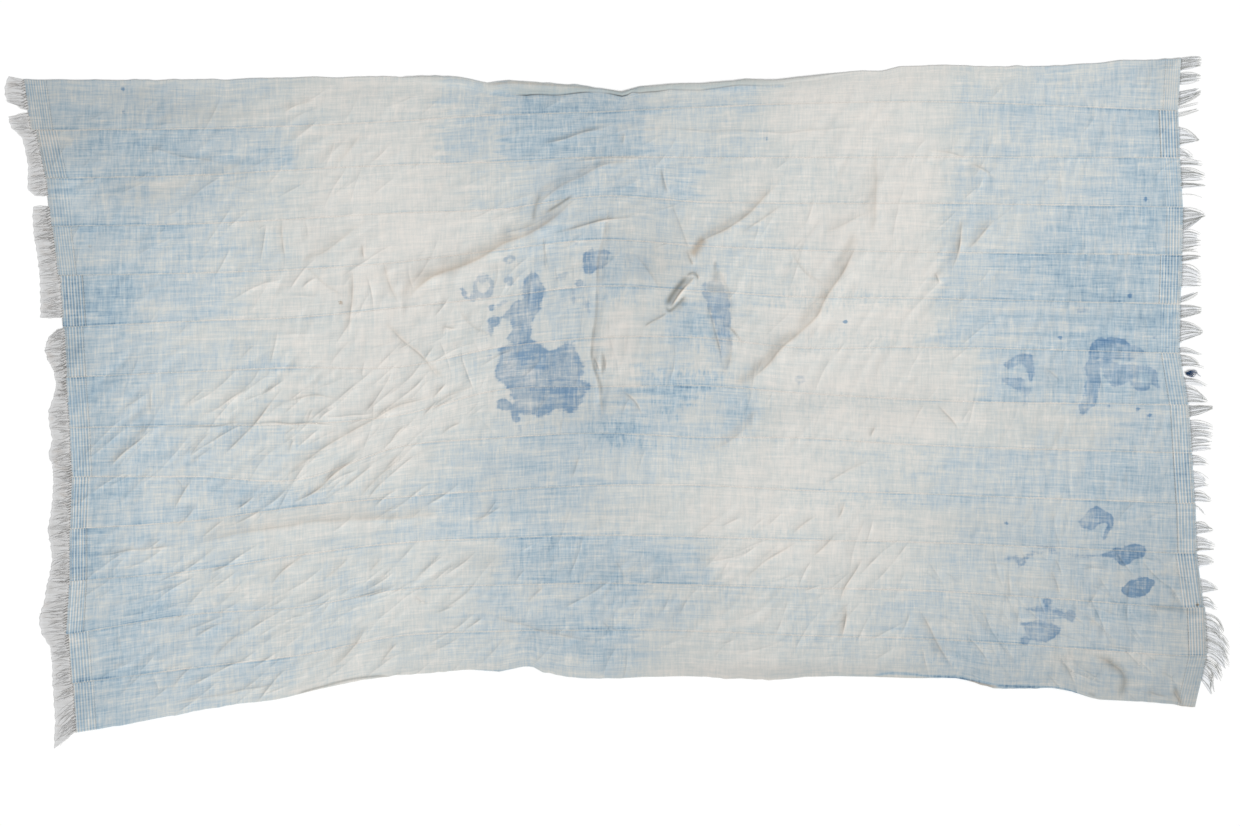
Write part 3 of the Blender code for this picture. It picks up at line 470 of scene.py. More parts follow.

# painted lines, width in pixels, amount and places in pixels: painted shade in creases, then brown painted
# shade and soil, then blue
seenCreaseShade = (
    (2.7, 0.62, ((688,275), (683,281), (676,289), (669,299), (666,307))),
    (1.6, 0.6, ((666,306), (668,311), (672,310), (678,304), (686,295))),
    (1.4, 0.4, ((687,276), (692,273), (697,275), (699,279))),
    (1.3, 0.16, ((668,312), (660,317), (651,322), (644,327))),
    (1.2, 0.24, ((688,252), (690,258), (693,265))),
    (0.9, 0.2, ((661,168), (662,180), (665,192))),
    (1.3, 0.5, ((546,213), (560,204), (573,195))),
    (2, 0.36, ((533,222), (535,207), (541,194))),
    (0.8, 0.22, ((543,235), (544,250), (549,272))),
    (6, 0.06, ((589,285), (588,310), (587,345), (590,372))),
    (1.1, 0.14, ((598,296), (597,310), (595,335), (593,350), (592,362))),
    (1.1, 0.2, ((592,362), (595,372), (600,384))),
    (0.9, 0.3, ((602,350), (603,362), (602,376))),
    (1.6, 0.22, ((594,325), (592,345), (592,363))),
    (1.3, 0.3, ((592,360), (595,370), (601,384), (602,398))),
    (1.6, 0.3, ((715,261), (715,272))),
    (3.4, 0.22, ((716,270), (715,283))),
    (4.5, 0.17, ((705,287), (716,289), (726,290))),
    (4, 0.07, ((728,346), (729,358), (725,374))),
    (0.9, 0.3, ((729,327), (735,333), (741,341))),
    (0.9, 0.08, ((703,285), (711,310), (716,328), (717,340), (722,353))),
    (1.1, 0.45, ((296,694), (311,689), (325,685.5), (336,682.5), (348,679.5), (362,677.5), (382,675.5),
        (390,677))),
    (4.2, 0.3, ((1101,658), (1112,664), (1122,672), (1125,679), (1123,689), (1118,698))),
    (3, 0.2, ((1148,606), (1175,609), (1203,614))),
    (1.6, 0.3, ((1173,684), (1178,695), (1183,705))),
    (1, 0.22, ((475,671), (500,672), (516,670))),
    (1.2, 0.3, ((1088,693), (1096,696))),
    (2, 0.12, ((150,424), (128,444), (106,466))),
    (2, 0.12, ((323,479), (343,463), (360,449))),
    (1.4, 0.12, ((545,142), (580,132), (606,126))),
    (1.2, 0.12, ((552,234), (580,226), (610,218))),
)
# brown lines: painted shade along the shade sides of folds, with some soil
seenShadeAndSoil = (
    (4.5, 1.9, ((705,237), (698,246), (691,257))),
    (4.5, 0.45, ((399,300), (420,271), (468,254), (499,240), (538,219), (566,198))),
    (3.5, 0.5, ((531,209), (537,194), (555,181), (580,173), (600,164))),
    (4.5, 0.5, ((856,232), (846,254), (834,276), (815,306), (795,328))),
    (4.5, 0.65, ((797,328), (778,345), (766,360), (748,377), (733,384))),
    (3.5, 0.6, ((690,247), (703,237), (720,228), (744,213))),
    (3, 0.4, ((758,408), (745,423), (728,436))),
    (2, 0.5, ((384,262), (389,285), (399,302))),
    (2.5, 0.35, ((352,268), (349,300), (345,336))),
    (2, 0.4, ((288,474), (332,440), (380,412), (412,398))),
    (2.5, 0.4, ((300,262), (340,240), (360,223))),
    (2.5, 0.4, ((961,217), (957,246), (948,272))),
    (1.2, 0.9, ((490,84.5), (510,82), (540,84.5), (580,87), (600,89.5))),
    (1.5, 0.9, ((1174,688), (1178,698), (1182,706))),
    (1.2, 1.2, ((1176,705), (1185,706.5), (1193,707))),
    (1.2, 1.8, ((966,680), (985,685.2), (998,687))),
    (1.2, 0.8, ((866,677.5), (900,678.5), (928,678.5))),
    (2.5, 0.4, ((992,216), (974,240), (962,252))),
    (2, 0.4, ((330,668), (350,648), (367,625))),
    (2, 0.5, ((385,322), (402,338), (425,360), (446,381))),
    (2, 0.5, ((843,605), (844,618), (839,638))),
    (2, 0.4, ((862,557), (850,578), (839,603))),
    (2.2, 0.4, ((875,152), (875,180), (872,236))),
)
seenBlue = (
    (1.1, 0.8, ((872,675), (890,673), (907,674), (925,675.4), (943,676.6), (960,678), (976,681),
        (990,683.6), (1000,685.4), (1020,686.6), (1053,687), (1066,689), (1081,694))),
    (1.2, 0.4, ((470,670), (500,671), (516,669))),
    (2, 0.3, ((700,89), (740,88), (790,86))),
    (2.5, 0.2, ((480,92), (500,94), (520,94))),
    (1.4, 0.3, ((605,288), (650,287), (690,289))),
    (1.2, 0.3, ((640,385), (680,386), (715,388))),
)
creaseShadeLines, shadeAndSoilLines, blueLines = photoLines(seenCreaseShade), photoLines(seenShadeAndSoil), photoLines(seenBlue)

# tufts of the left fringe from the top: pixel row at the root, then the place of the tip
seenTufts = (
    (
        (80,8,76), (88,5,84), (95,4,90), (103,5,97), (110,7,102),
    ),
    (
        (113,8,117), (124,9,124), (130,12,129), (138,21,137), (150,25,150), (165,28,166), (180,27,180),
        (190,27,190), (196,35,196),
    ),
    (
        (207,33,207), (214,32,214), (235,33,235), (255,37,255), (275,39,275), (300,40,300), (318,40,318),
    ),
    (
        (328,57,330), (338,48,338), (350,44,350), (360,47,360), (370,53,370), (385,56,385), (395,54,395),
        (412,48,412), (425,49,425), (440,52,440), (455,48,455), (465,52,465), (480,53,480), (500,52,500),
        (515,50,515), (530,47,530), (545,50,545), (560,52,560), (575,49,575), (590,45,590), (600,44,600),
        (615,39,615), (622,38,622), (635,42,635), (648,50,648), (665,52,665), (680,52,681), (690,53,695),
        (700,54,708), (710,55,722), (720,54,736), (731,54,749),
    ),
)
leftTufts = [[(photoY(root), photoX(x), photoY(y)) for root, x, y in tuft] for tuft in seenTufts]
# clumps of the right fringe: pixel rows between which its threads start, the place of the tip, how
# far the tips spread in pixels, and how many threads
seenClumps = (
    (58,71,1200,62,13,16), (74,85,1199,77,8,9), (92,107,1199,91,6,12), (107,112,1197,103,1,2),
    (112,118,1198,110,1,3), (126,147,1197,140,2,10), (147,160,1192,157,3,8), (160,166,1201,164,5,5),
    (167,182,1203,177,6,10), (182,189,1203,186,1,5), (194,197,1204,198,0,1), (203,233,1203,215,4,16),
    (230,250,1199,239,15,11), (250,254,1197,250,1,3), (254,263,1199,257,3,6), (263,288,1200,279,18,14),
    (297,304,1196,293,1,4), (304,320,1200,310,6,10), (320,344,1201,332,4,16), (347,354,1200,354,1,4),
    (352,368,1198,363,5,10), (362,368,1205,368,0,2), (376,384,1205,386,1,4), (383,404,1206,400,4,12),
    (402,418,1211,408,3,10), (420,431,1211,428,3,7), (430,438,1211,435,3,6), (438,446,1210,441,3,6),
    (445,453,1209,447,3,6), (454,466,1207,463,4,8), (470,490,1207,483,8,10), (490,502,1209,500,5,8),
    (503,510,1204,514,1,3), (521,536,1211,530,4,9), (536,554,1213,547,7,10), (554,568,1212,562,6,9),
    (578,594,1216,589,3,9), (597,613,1215,607,10,9), (611,628,1222,634,17,13), (625,641,1228,649,17,13),
    (638,653,1227,663,16,12), (650,665,1220,675,15,12), (662,680,1213,689,13,12),
)
rightClumps = [
    (photoY(upper), photoY(lower), photoX(x), photoY(y), photoSize(spread), threads)
    for upper, lower, x, y, spread, threads in seenClumps
]


# shared number work

def smoothStep(value):
    # 0 below 0, 1 above 1, a soft S between
    value = np.clip(value, 0.0, 1.0)
    return value * value * (3.0 - 2.0 * value)


def smoothCurve(x, pointsX, pointsY):
    # a cubic through the points, its slope at each point taken from the points beside it
    pointsX = np.asarray(pointsX, float)
    pointsY = np.asarray(pointsY, float)
    slope = np.gradient(pointsY, pointsX)
    x = np.clip(x, pointsX[0], pointsX[-1])
    i = np.clip(np.searchsorted(pointsX, x) - 1, 0, len(pointsX) - 2)
    step = pointsX[i + 1] - pointsX[i]
    t = (x - pointsX[i]) / step
    start = pointsY[i] * (1 + 2 * t) + slope[i] * step * t
    end = pointsY[i + 1] * (3 - 2 * t) - slope[i + 1] * step * (1 - t)
    return start * (1 - t) ** 2 + end * t**2


def edgeHeight(number, x):
    # Y of a strip edge: 0 is the top edge of the cloth, then the seams, 13 its bottom edge
    if number == 0:
        return np.interp(x, *zip(*topEdge))
    if number > len(seams):
        return np.interp(x, *zip(*bottomEdge))
    return smoothCurve(x, stations, seams[number - 1])


def ripple(x, y, seed, waves, shortest, longest, stretch=1.0):
    # the sum of sine waves with random directions, lengths and starts, about 1 high;
    # a stretch over 1 makes the waves longer along X
    chance = np.random.default_rng(seed)
    turns = chance.uniform(0, math.pi, waves)
    lengths = chance.uniform(shortest, longest, waves)
    starts = chance.uniform(0, 9, waves)
    total = np.zeros(np.shape(x))
    for turn, length, start in zip(turns, lengths, starts):
        phase = (x * math.cos(turn) / stretch + y * math.sin(turn)) * 2 * math.pi / length
        total += np.sin(phase + start)
    return total / math.sqrt(waves / 2)


def softLine(line, rounds):
    # a line with its corners cut: each stretch keeps its points at a quarter and at three quarters
    points = np.array(line, float)
    for _ in range(rounds):
        start, end = points[:-1], points[1:]
        inner = np.stack((0.75 * start + 0.25 * end, 0.25 * start + 0.75 * end), axis=1).reshape(-1, 2)
        points = np.concatenate((points[:1], inner, points[-1:]))
    return points.tolist()


def lineDistance(x, y, line):
    # for each point: distance to a line of straight stretches, below 0 on its side away from the
    # light, and the length of line up to the nearest place and after it
    lengths = [math.hypot(b[0] - a[0], b[1] - a[1]) for a, b in zip(line, line[1:])]
    nearest = np.full(np.shape(x), farAway)
    signed = np.zeros(np.shape(x))
    place = np.zeros(np.shape(x))
    done = 0.0
    for (x0, y0), (x1, y1), length in zip(line, line[1:], lengths):
        runX, runY = (x1 - x0) / length, (y1 - y0) / length
        along = np.clip((x - x0) * runX + (y - y0) * runY, 0.0, length)
        awayX, awayY = x - x0 - along * runX, y - y0 - along * runY
        away = np.hypot(awayX, awayY)
        turn = 1.0 if runY * relief["lightFrom"][0] - runX * relief["lightFrom"][1] > 0 else -1.0
        side = np.where((awayX * runY - awayY * runX) * turn < 0, -1.0, 1.0)
        closer = away < nearest
        nearest = np.where(closer, away, nearest)
        signed = np.where(closer, away * side, signed)
        place = np.where(closer, done + along, place)
        done += length
    return signed, place, sum(lengths) - place


# relief of the cloth

relief = {
    "lightFrom": (0.83, -0.55),  # plan direction that the lit side of a fold faces
    "ridgeScale": 0.4,
    "valleyScale": 0.45,
    "pinch": 0.8,  # how fast a fold falls off, as a share of its widths
    "crestShare": 0.24,  # how round a crest is, as a share of the fold's shade width
    "swellShare": 0.1,  # share of a fold's height that is a wide swell
    "swellWidth": 2.0,
    "fadeShare": 0.38,
    "pinchFade": 0.15,
    "fadeLongest": 70,
    "wander": 1.3,  # how far the lines of the folds stray
    "unevenness": 0.35,
    "loft": 1.6,  # how high the crumpled cloth stands off the table
    "loftMargin": 45,
    "waveHeight": 0.24,
    "swellHeight": 0.7,
    "crumpleHeight": 0.34,
    "crumpleWaves": 12,
    "lineReach": 8,  # how far from a fold its distance is still kept for the material
    "puckerHeight": 0.1,
    "puckerReach": 9,
    "seamBead": 0.16,
    "seamBeadWidth": 2.2,
    "rollHeight": 2.4,
    "grooveDepth": 0.8,
    "smallSeed": 5,
}
# the rolled part of the top edge: width of the roll at each X, and how dark the painted shade in the groove
# beside it is
rolledEdge = (
    (-375, 0, 0), (-300, 12, 0.1), (-240, 14, 0.0), (-200, 16, 0.05), (-165, 20, 0.6), (-150, 20.5, 1.5),
    (-127, 17, 1.1), (-94, 14.5, 1.0), (-61, 12, 1.3), (-45, 9, 0.8), (-27, 6, 0.5), (-11, 5, 0.9),
    (7, 6, 1.6), (18, 7, 1.3), (26, 5, 0.8), (39, 11, 0.9), (64, 11, 1.1), (89, 8, 0.7), (139, 11, 0.6),
    (190, 10, 0.8), (240, 9, 0.6), (290, 8, 0.4), (340, 6, 0.2), (405, 0, 0),
)
# where small creases lie: centre X, Y, half sizes, direction in degrees, its spread, how many,
# shortest and longest, lowest and highest
smallCreases = (
    (-570, -70, 290, 130, 38, 14, 80, 50, 210, 0.3, 1.15),
    (-550, -380, 320, 120, 36, 14, 100, 40, 190, 0.3, 1.2),
    (-600, 400, 340, 120, 28, 40, 80, 30, 120, 0.15, 0.6),
    (-420, 130, 270, 170, 45, 45, 100, 30, 140, 0.3, 1.1),
    (-40, 380, 190, 130, 22, 25, 50, 30, 130, 0.15, 0.55),
    (0, 70, 230, 190, 70, 50, 55, 30, 130, 0.15, 0.6),
    (420, 170, 240, 260, 58, 25, 70, 40, 150, 0.15, 0.6),
    (800, 60, 170, 480, 80, 40, 90, 25, 100, 0.15, 0.5),
    (120, -320, 360, 130, 45, 35, 90, 30, 130, 0.25, 0.8),
    (720, -370, 230, 120, -45, 30, 95, 30, 110, 0.3, 1.15),
    (-800, 0, 110, 480, 35, 50, 80, 25, 100, 0.15, 0.6),
)


def scatterCreases():
    # draws the small creases once: centre, direction, half length, height, width, ridge or valley
    chance = np.random.default_rng(relief["smallSeed"])
    drawn = []
    for cx, cy, halfX, halfY, turn, spread, count, shortest, longest, low, high in smallCreases:
        for _ in range(count):
            x, y = cx + halfX * chance.uniform(-1, 1), cy + halfY * chance.uniform(-1, 1)
            angle = math.radians(turn + spread * chance.normal() * 0.6)
            half = chance.uniform(shortest, longest) / 2
            bend = chance.uniform(-0.08, 0.08) * half
            runX, runY = math.cos(angle) * half, math.sin(angle) * half
            middle = (x - 2 * bend * math.sin(angle), y + 2 * bend * math.cos(angle))
            line = softLine(((x - runX, y - runY), middle, (x + runX, y + runY)), 1)
            height = chance.uniform(low, high)
            width = chance.uniform(3, 7)
            drawn.append((height * (1 if chance.uniform() < 0.72 else -0.7), width, width * 2.0, line))
    return drawn


def mainCreases():
    # the folds that are listed, as soft lines: those of one straight stretch get a slight bow first
    chance = np.random.default_rng(relief["smallSeed"] + 1)
    drawn = []
    kinds = {name: "pinch" if name == "pinch" else "ridge" for name in ridges}
    rows = [(row, kinds[name]) for name, group in ridges.items() for row in group]
    for (height, shadeWidth, litWidth, line), kind in rows + [(row, "valley") for row in valleys]:
        if len(line) == 2:
            (x0, y0), (x1, y1) = line
            bow = chance.choice((-1, 1)) * chance.uniform(0.02, 0.07)
            line = (line[0], ((x0 + x1) / 2 - bow * (y1 - y0), (y0 + y1) / 2 + bow * (x1 - x0)), line[1])
        drawn.append((height, shadeWidth, litWidth, softLine(line, 2), kind))
    return drawn


creases = mainCreases() + [(*row, "small") for row in scatterCreases()]


def creaseProfile(signed, before, after, shadeWidth, litWidth, fadeShare):
    # a pinched fold across its line: an exponential that falls fast on the shade side and slowly on
    # the lit side, round at the crest, on a wider bell; it dies away towards both ends of the line
    width = np.where(signed < 0, shadeWidth, litWidth) * relief["pinch"]
    crest = relief["crestShare"] * shadeWidth
    away = np.sqrt(signed**2 + crest**2) - crest
    bell = np.exp(-((signed / (relief["swellWidth"] * width)) ** 2))
    fade = np.minimum((before + after) * fadeShare, relief["fadeLongest"])
    ends = smoothStep(np.minimum(before, after) / fade)
    shape = (1 - relief["swellShare"]) * np.exp(-away / width) + relief["swellShare"] * bell
    return shape * ends, ends


def foldRelief(x, y):
    # height of the main and the small creases over the level cloth, the painted shade and soil on their
    # shade side and in their troughs, and for the material the distance to the nearest fold and its
    # strength, below 0 for a trough; the folds stray a little from their lines and are uneven along them
    rise, sink, small, shadeAndSoil, side, power, best = (np.zeros(np.shape(x)) for _ in range(7))
    uneven = 1 + relief["unevenness"] * ripple(x, y, 33, 14, 25, 90)
    strayX, strayY = ripple(x, y, 34, 12, 60, 200), ripple(x, y, 35, 12, 60, 200)
    x, y = x + relief["wander"] * strayX, y + relief["wander"] * strayY
    lowX, highX, lowY, highY = x.min(), x.max(), y.min(), y.max()
    for height, shadeWidth, litWidth, line, kind in creases:
        reach = 2.6 * max(shadeWidth, litWidth)
        left, right = min(p[0] for p in line) - reach, max(p[0] for p in line) + reach
        low, high = min(p[1] for p in line) - reach, max(p[1] for p in line) + reach
        if left > highX or right < lowX or low > highY or high < lowY:
            continue
        near = (x > left) & (x < right) & (y > low) & (y < high)
        if not near.any():
            continue
        signed, before, after = lineDistance(x[near], y[near], line)
        fadeShare = relief["pinchFade" if kind == "pinch" else "fadeShare"]
        shape, ends = creaseProfile(signed, before, after, shadeWidth, litWidth, fadeShare)
        shape *= 1 if kind == "pinch" else uneven[near]
        if kind in ("ridge", "pinch"):
            rise[near] = np.maximum(rise[near], height * relief["ridgeScale"] * shape)
            # painted shade and soil: brown on a ridge's shade side, away from the light, and gone fast on
            # its lit side
            creaseShade = np.exp(np.minimum(signed, 0) / (0.55 * shadeWidth) - np.maximum(signed, 0) / 2)
            shadeAndSoil[near] = np.maximum(shadeAndSoil[near], creaseShade * ends * np.clip(height / 6, 0, 1.5))
        elif kind == "valley":
            sink[near] = np.maximum(sink[near], height * relief["valleyScale"] * shape)
            # painted shade and soil down the middle of a trough
            shadeAndSoil[near] = np.maximum(shadeAndSoil[near], 0.5 * np.exp(-np.abs(signed) / (0.25 * shadeWidth)) * ends)
        else:
            small[near] += height * shape
        crisp = min((8 / shadeWidth) ** 2, 1.3) * min(height / 3.5, 1.6)
        if kind == "small":
            crisp = 0.85 * abs(height)
        strength = crisp * ends * uneven[near]
        closeness = strength * np.exp(-np.abs(signed) / 3)
        nearer = closeness > best[near]
        kept = strength * smoothStep((relief["lineReach"] - np.abs(signed)) / 5)
        kept *= -1 if kind == "valley" or height < 0 else 1
        best[near] = np.where(nearer, closeness, best[near])
        side[near] = np.where(nearer, signed, side[near])
        power[near] = np.where(nearer, kept, power[near])
    return rise - sink + small, {"shadeAndSoil": shadeAndSoil, "foldSide": side, "foldPower": power}


def crumple(x, y):
    # in each area of small creases, waves that cross the crease direction are added and folded over
    # at their zero, which leaves a net of sharp lines; a bell over the area fades them out
    total = np.zeros(np.shape(x))
    for place, (cx, cy, halfX, halfY, turn, spread, *_) in enumerate(smallCreases):
        share = np.exp(-(((x - cx) / (1.25 * halfX)) ** 2 + ((y - cy) / (1.25 * halfY)) ** 2))
        near = share > 0.03
        if not near.any():
            continue
        chance = np.random.default_rng(200 + place)
        count = relief["crumpleWaves"]
        sides, lengths = chance.normal(0, 1, count), chance.uniform(26, 75, count)
        starts = chance.uniform(0, 9, count)
        waves = np.zeros(near.sum())
        for side, length, start in zip(sides, lengths, starts):
            angle = math.radians(turn + 90 + side * spread * 0.45)
            along = x[near] * math.cos(angle) + y[near] * math.sin(angle)
            waves += np.sin(along * 2 * math.pi / length + start)
        total[near] += share[near] * (0.8 - np.sqrt(waves**2 / (count / 2) + 0.02))
    return total


def clothHeight(number, x, y, left, right):
    # height of the cloth's underside: loft, folds, soft waves, puckers beside the seams and the
    # rolled top edge added up, and nothing below the table; with it what the material needs
    upper, lower = edgeHeight(number, x), edgeHeight(number + 1, x)
    margin = np.minimum(x - left, right - x)
    edges = np.minimum(edgeHeight(0, x) - y, y - edgeHeight(stripCount, x))
    inside = np.minimum(margin, edges)
    level = relief["loft"] * smoothStep(inside / relief["loftMargin"])
    folds, marks = foldRelief(x, y)
    calm = smoothStep(inside / 22 + 0.12)
    waves = relief["waveHeight"] * (
        ripple(x, y, 31, 18, 45, 120) * 0.9 + ripple(x, y, 32, 26, 18, 40) * 0.22
    )
    waves += relief["swellHeight"] * ripple(x, y, 36, 14, 150, 420)
    waves += relief["crumpleHeight"] * crumple(x, y)
    pucker = np.zeros(np.shape(x))
    bead = np.zeros(np.shape(x))
    seamsBeside = (number, upper - y, number > 0), (number + 1, y - lower, number < lastStrip)
    for line, away, inner in seamsBeside:
        if inner:
            gathers = ripple(x, y * 0.2, 60 + line, 10, 9, 26)
            pucker += relief["puckerHeight"] * gathers * np.exp(-((away / relief["puckerReach"]) ** 2))
            bead += relief["seamBead"] * np.exp(-((away / relief["seamBeadWidth"]) ** 2))
    total = level + (folds + waves + pucker + bead) * calm
    none = np.zeros(np.shape(x))
    marks.update(hemSide=none + outOfReach, hemPower=none, groove=none)
    if number == 0:
        placeX, widths, darkness = zip(*rolledEdge)
        width = np.interp(x, placeX, widths) * (1 + 0.12 * ripple(x, 0 * y, 71, 6, 40, 160))
        share = smoothStep(width / 5)
        across = np.clip((upper - y) / np.maximum(width, 0.5), 0.0, 1.0)
        roll = relief["rollHeight"] * np.sqrt(width / 15) * np.sqrt(np.clip(1 - (2 * across - 1) ** 2, 0, 1))
        total = np.where(across < 1, total * (1 - share) + roll * share, total)
        # the groove beside the roll is sunk; its darkness is kept for the painted shade in it, and the hem's
        # tint grows with it
        darkness = share * np.interp(x, placeX, darkness)
        total = total - relief["grooveDepth"] * darkness * np.exp(-(((upper - y - width - 1.5) / 2.2) ** 2))
        share = share * np.clip(0.15 + darkness, 0, 1)
        marks.update(hemSide=upper - y - width, hemPower=share, groove=darkness)
    return 0.5 * (total + np.sqrt(total**2 + 0.2**2)), marks


# dye and stains

dye = {
    "ground": 0.1,
    "patchSeed": 40,
    "patchAmount": 0.13,
    "shotAmount": 0.05,  # how far single shots of weft and single warp threads hold more or less dye
    "warpAmount": 0.05,
    "raggedAlong": 10,  # how far the blocks of dye are frayed along the strip
    "raggedAcross": 8,
    "seamTint": 0.04,
    "seamTintWidth": 5,
    "rollFaded": 0.45,
    "stainReach": 24,  # how far from a stain its distance is still kept
    "stainJoint": 1.2,  # how softly the parts of a stain run together
}


def dyeLevel(number, x, y):
    # how blue the cloth is: the blocks that keep to this strip and the soft areas added up, their
    # borders frayed along the threads, eased off near full strength and broken up by patches
    total = np.full(np.shape(x), dye["ground"])
    frayed = x + dye["raggedAlong"] * ripple(x, y, 50 + number, 20, 6, 20, 12)
    for first, last, start, end, level, soft in stripDye:
        if first <= number + 1 <= last:
            begun = smoothStep((frayed - start) / soft + 0.5)
            total += level * begun * smoothStep((end - frayed) / soft + 0.5)
    shifted = y + dye["raggedAcross"] * ripple(x, y, 51, 20, 8, 40, 0.3)
    for cx, cy, radiusX, radiusY, level in softDye:
        away = ((frayed - cx) / radiusX) ** 2 + ((shifted - cy) / radiusY) ** 2
        total += level * np.exp(-away)
    patches = dye["patchAmount"] * ripple(x, y, dye["patchSeed"] + number, 14, 40, 150, 2.2)
    shots = ripple(x, 0 * y, 80 + number, 26, 7, 36) * (1 + 0.7 * ripple(x, y, 95 + number, 8, 60, 200))
    warps = ripple(0 * x, y, 110 + number, 20, 6, 24) * (1 + 0.8 * ripple(x, y, 125 + number, 8, 60, 260, 2))
    patches += dye["shotAmount"] * shots + dye["warpAmount"] * warps
    total *= 1 + patches
    above, below = edgeHeight(number, x) - y, y - edgeHeight(number + 1, x)
    for away, inner in ((above, number > 0), (below, number < lastStrip)):
        if inner:
            tint = dye["seamTint"] * (1 + 0.8 * ripple(x, 0 * x, 90 + number, 8, 30, 160))
            total += np.clip(tint, 0, 1) * np.exp(-((away / dye["seamTintWidth"]) ** 2))
    if number == 0:
        placeX, widths, darkness = zip(*rolledEdge)
        rolled = edgeHeight(0, x) - y < np.interp(x, placeX, widths)
        total *= 1 - dye["rollFaded"] * rolled * np.clip(np.interp(x, placeX, darkness), 0, 1)
    return 1.25 * (1 - np.exp(-np.clip(total, 0, 9) / 1.25)) + paintedLines(x, y, blueLines)


def paintedLines(x, y, rows):
    # lines on the cloth, of dye, of painted shade with soil or of painted shade in creases: across each a
    # bell, which dies away at its ends; the strongest counts
    total = np.zeros(np.shape(x))
    for width, amount, line in rows:
        reach = 2.5 * width
        (left, low), (right, high) = np.min(line, axis=0) - reach, np.max(line, axis=0) + reach
        near = (x > left) & (x < right) & (y > low) & (y < high)
        if near.any():
            signed, before, after = lineDistance(x[near], y[near], softLine(line, 2))
            ends = smoothStep(np.minimum(before, after) / np.minimum(0.25 * (before + after), 20) + 0.15)
            total[near] = np.maximum(total[near], amount * ends * np.exp(-((signed / width) ** 2)))
    return total


def greyAndShadeAt(x, y):
    # how much darker the cloth is there, from greyer cloth and from painted shade: soft areas added up
    total = np.zeros(np.shape(x))
    for cx, cy, radiusX, radiusY, level in greyAndShadeAreas:
        total += level * np.exp(-(((x - cx) / radiusX) ** 2) - ((y - cy) / radiusY) ** 2)
    return total


def weftBand(number, x, left, right):
    # the bands of thick white weft near both ends: how many lines in from the first one, and how
    # strongly they show, 0 outside the band
    turns, power = np.full(np.shape(x), -5.0), np.zeros(np.shape(x))
    ends = (x - left, leftBands[number]), (right - x, rightBands[number])
    for distance, (start, pitch, count, strength) in ends:
        here = (distance - start) / pitch
        inBand = smoothStep((here + 0.45) * 5) * smoothStep((count - 0.55 - here) * 5)
        turns = np.where(inBand > 0, here, turns)
        power = np.maximum(power, inBand * strength)
    return turns, power


def outlineDepth(x, y, outline):
    # how far in from a closed outline a point lies, below 0 outside: the distance to its nearest
    # stretch; inside are the points from which a line to the right crosses it an odd number of times
    nearest = np.full(np.shape(x), farAway)
    inside = np.zeros(np.shape(x), bool)
    for (x0, y0), (x1, y1) in zip(outline, outline[1:]):
        runX, runY = x1 - x0, y1 - y0
        share = np.clip(((x - x0) * runX + (y - y0) * runY) / max(runX**2 + runY**2, 1e-6), 0, 1)
        nearest = np.minimum(nearest, np.hypot(x - x0 - share * runX, y - y0 - share * runY))
        if y0 != y1:
            inside ^= ((y0 > y) != (y1 > y)) & (x < x0 + (y - y0) / runY * runX)
    return np.where(inside, nearest, -nearest)


def ellipseReach(x, y, cx, cy, radiusX, radiusY, turn):
    # 0 at the centre of a turned ellipse, 1 on it
    cosine, sine = math.cos(math.radians(turn)), math.sin(math.radians(turn))
    along = ((x - cx) * cosine + (y - cy) * sine) / radiusX
    return np.hypot(along, (-(x - cx) * sine + (y - cy) * cosine) / radiusY)


def stainFields(x, y):
    # distance in from the edge of the nearest stain, and its strength, below 0 for a brown one: the
    # stains are outlines with cut corners and ellipses, some hollow, joined softly, then bells make
    # them stronger or weaker in places
    joint, reach = dye["stainJoint"], dye["stainReach"]
    total = np.full(np.shape(x), math.exp(-reach / joint))
    weight = np.full(np.shape(x), 1e-6)
    tone = np.zeros(np.shape(x))

    def add(near, depth, strength):
        close = np.exp(np.minimum(depth, 8) / 2.5)
        weight[near] += close
        tone[near] += close * strength
        total[near] += np.exp(np.clip(depth, -60, 12) / joint)

    for strength, softness, outline in stainOutlines:
        line = softLine((*outline, outline[0]), 1)
        line[-1] = line[0] = [(a + b) / 2 for a, b in zip(line[1], line[-2])]
        (left, low), (right, high) = np.min(line, axis=0) - reach, np.max(line, axis=0) + reach
        near = (x > left) & (x < right) & (y > low) & (y < high)
        if near.any():
            add(near, outlineDepth(x[near], y[near], line) / softness, strength)
    for cx, cy, radiusX, radiusY, turn, hollow, strength in stainSpots:
        size = min(radiusX, radiusY)
        reached = ellipseReach(x, y, cx, cy, radiusX, radiusY, turn)
        near = (reached - 1) * size < reach
        if near.any():
            depth = (1 - reached[near]) * size
            if hollow:
                depth = np.minimum(depth, (reached[near] - hollow) * size)
            add(near, depth, strength)
    tone /= weight
    for cx, cy, radiusX, radiusY, turn, more in stainShades:
        eased = tone + more * np.exp(-ellipseReach(x, y, cx, cy, radiusX, radiusY, turn) ** 2)
        tone = np.where(tone > 0, np.maximum(eased, 0.02), tone)
    return joint * np.log(total), tone


# putting numbers into Blender

def addMesh(name, points, faces, smooth, lines, fields):
    # one mesh object at the origin from points in millimetres; smooth says which faces are smoothed,
    # lines is the UV map in metres
    mesh = bpy.data.meshes.new(name)
    mesh.from_pydata((points * mm).tolist(), [], faces)
    mesh.polygons.foreach_set("use_smooth", smooth)
    corners = np.zeros(len(mesh.loops), np.int32)
    mesh.loops.foreach_get("vertex_index", corners)
    layer = mesh.uv_layers.new(name="threadLines")
    layer.data.foreach_set("uv", lines[corners].astype(np.float32).ravel())
    for label, values in fields.items():
        field = mesh.attributes.new(label, "FLOAT", "POINT")
        field.data.foreach_set("value", values.astype(np.float32).ravel())
    mesh.update()
    piece = bpy.data.objects.new(name, mesh)
    bpy.context.collection.objects.link(piece)
    return piece


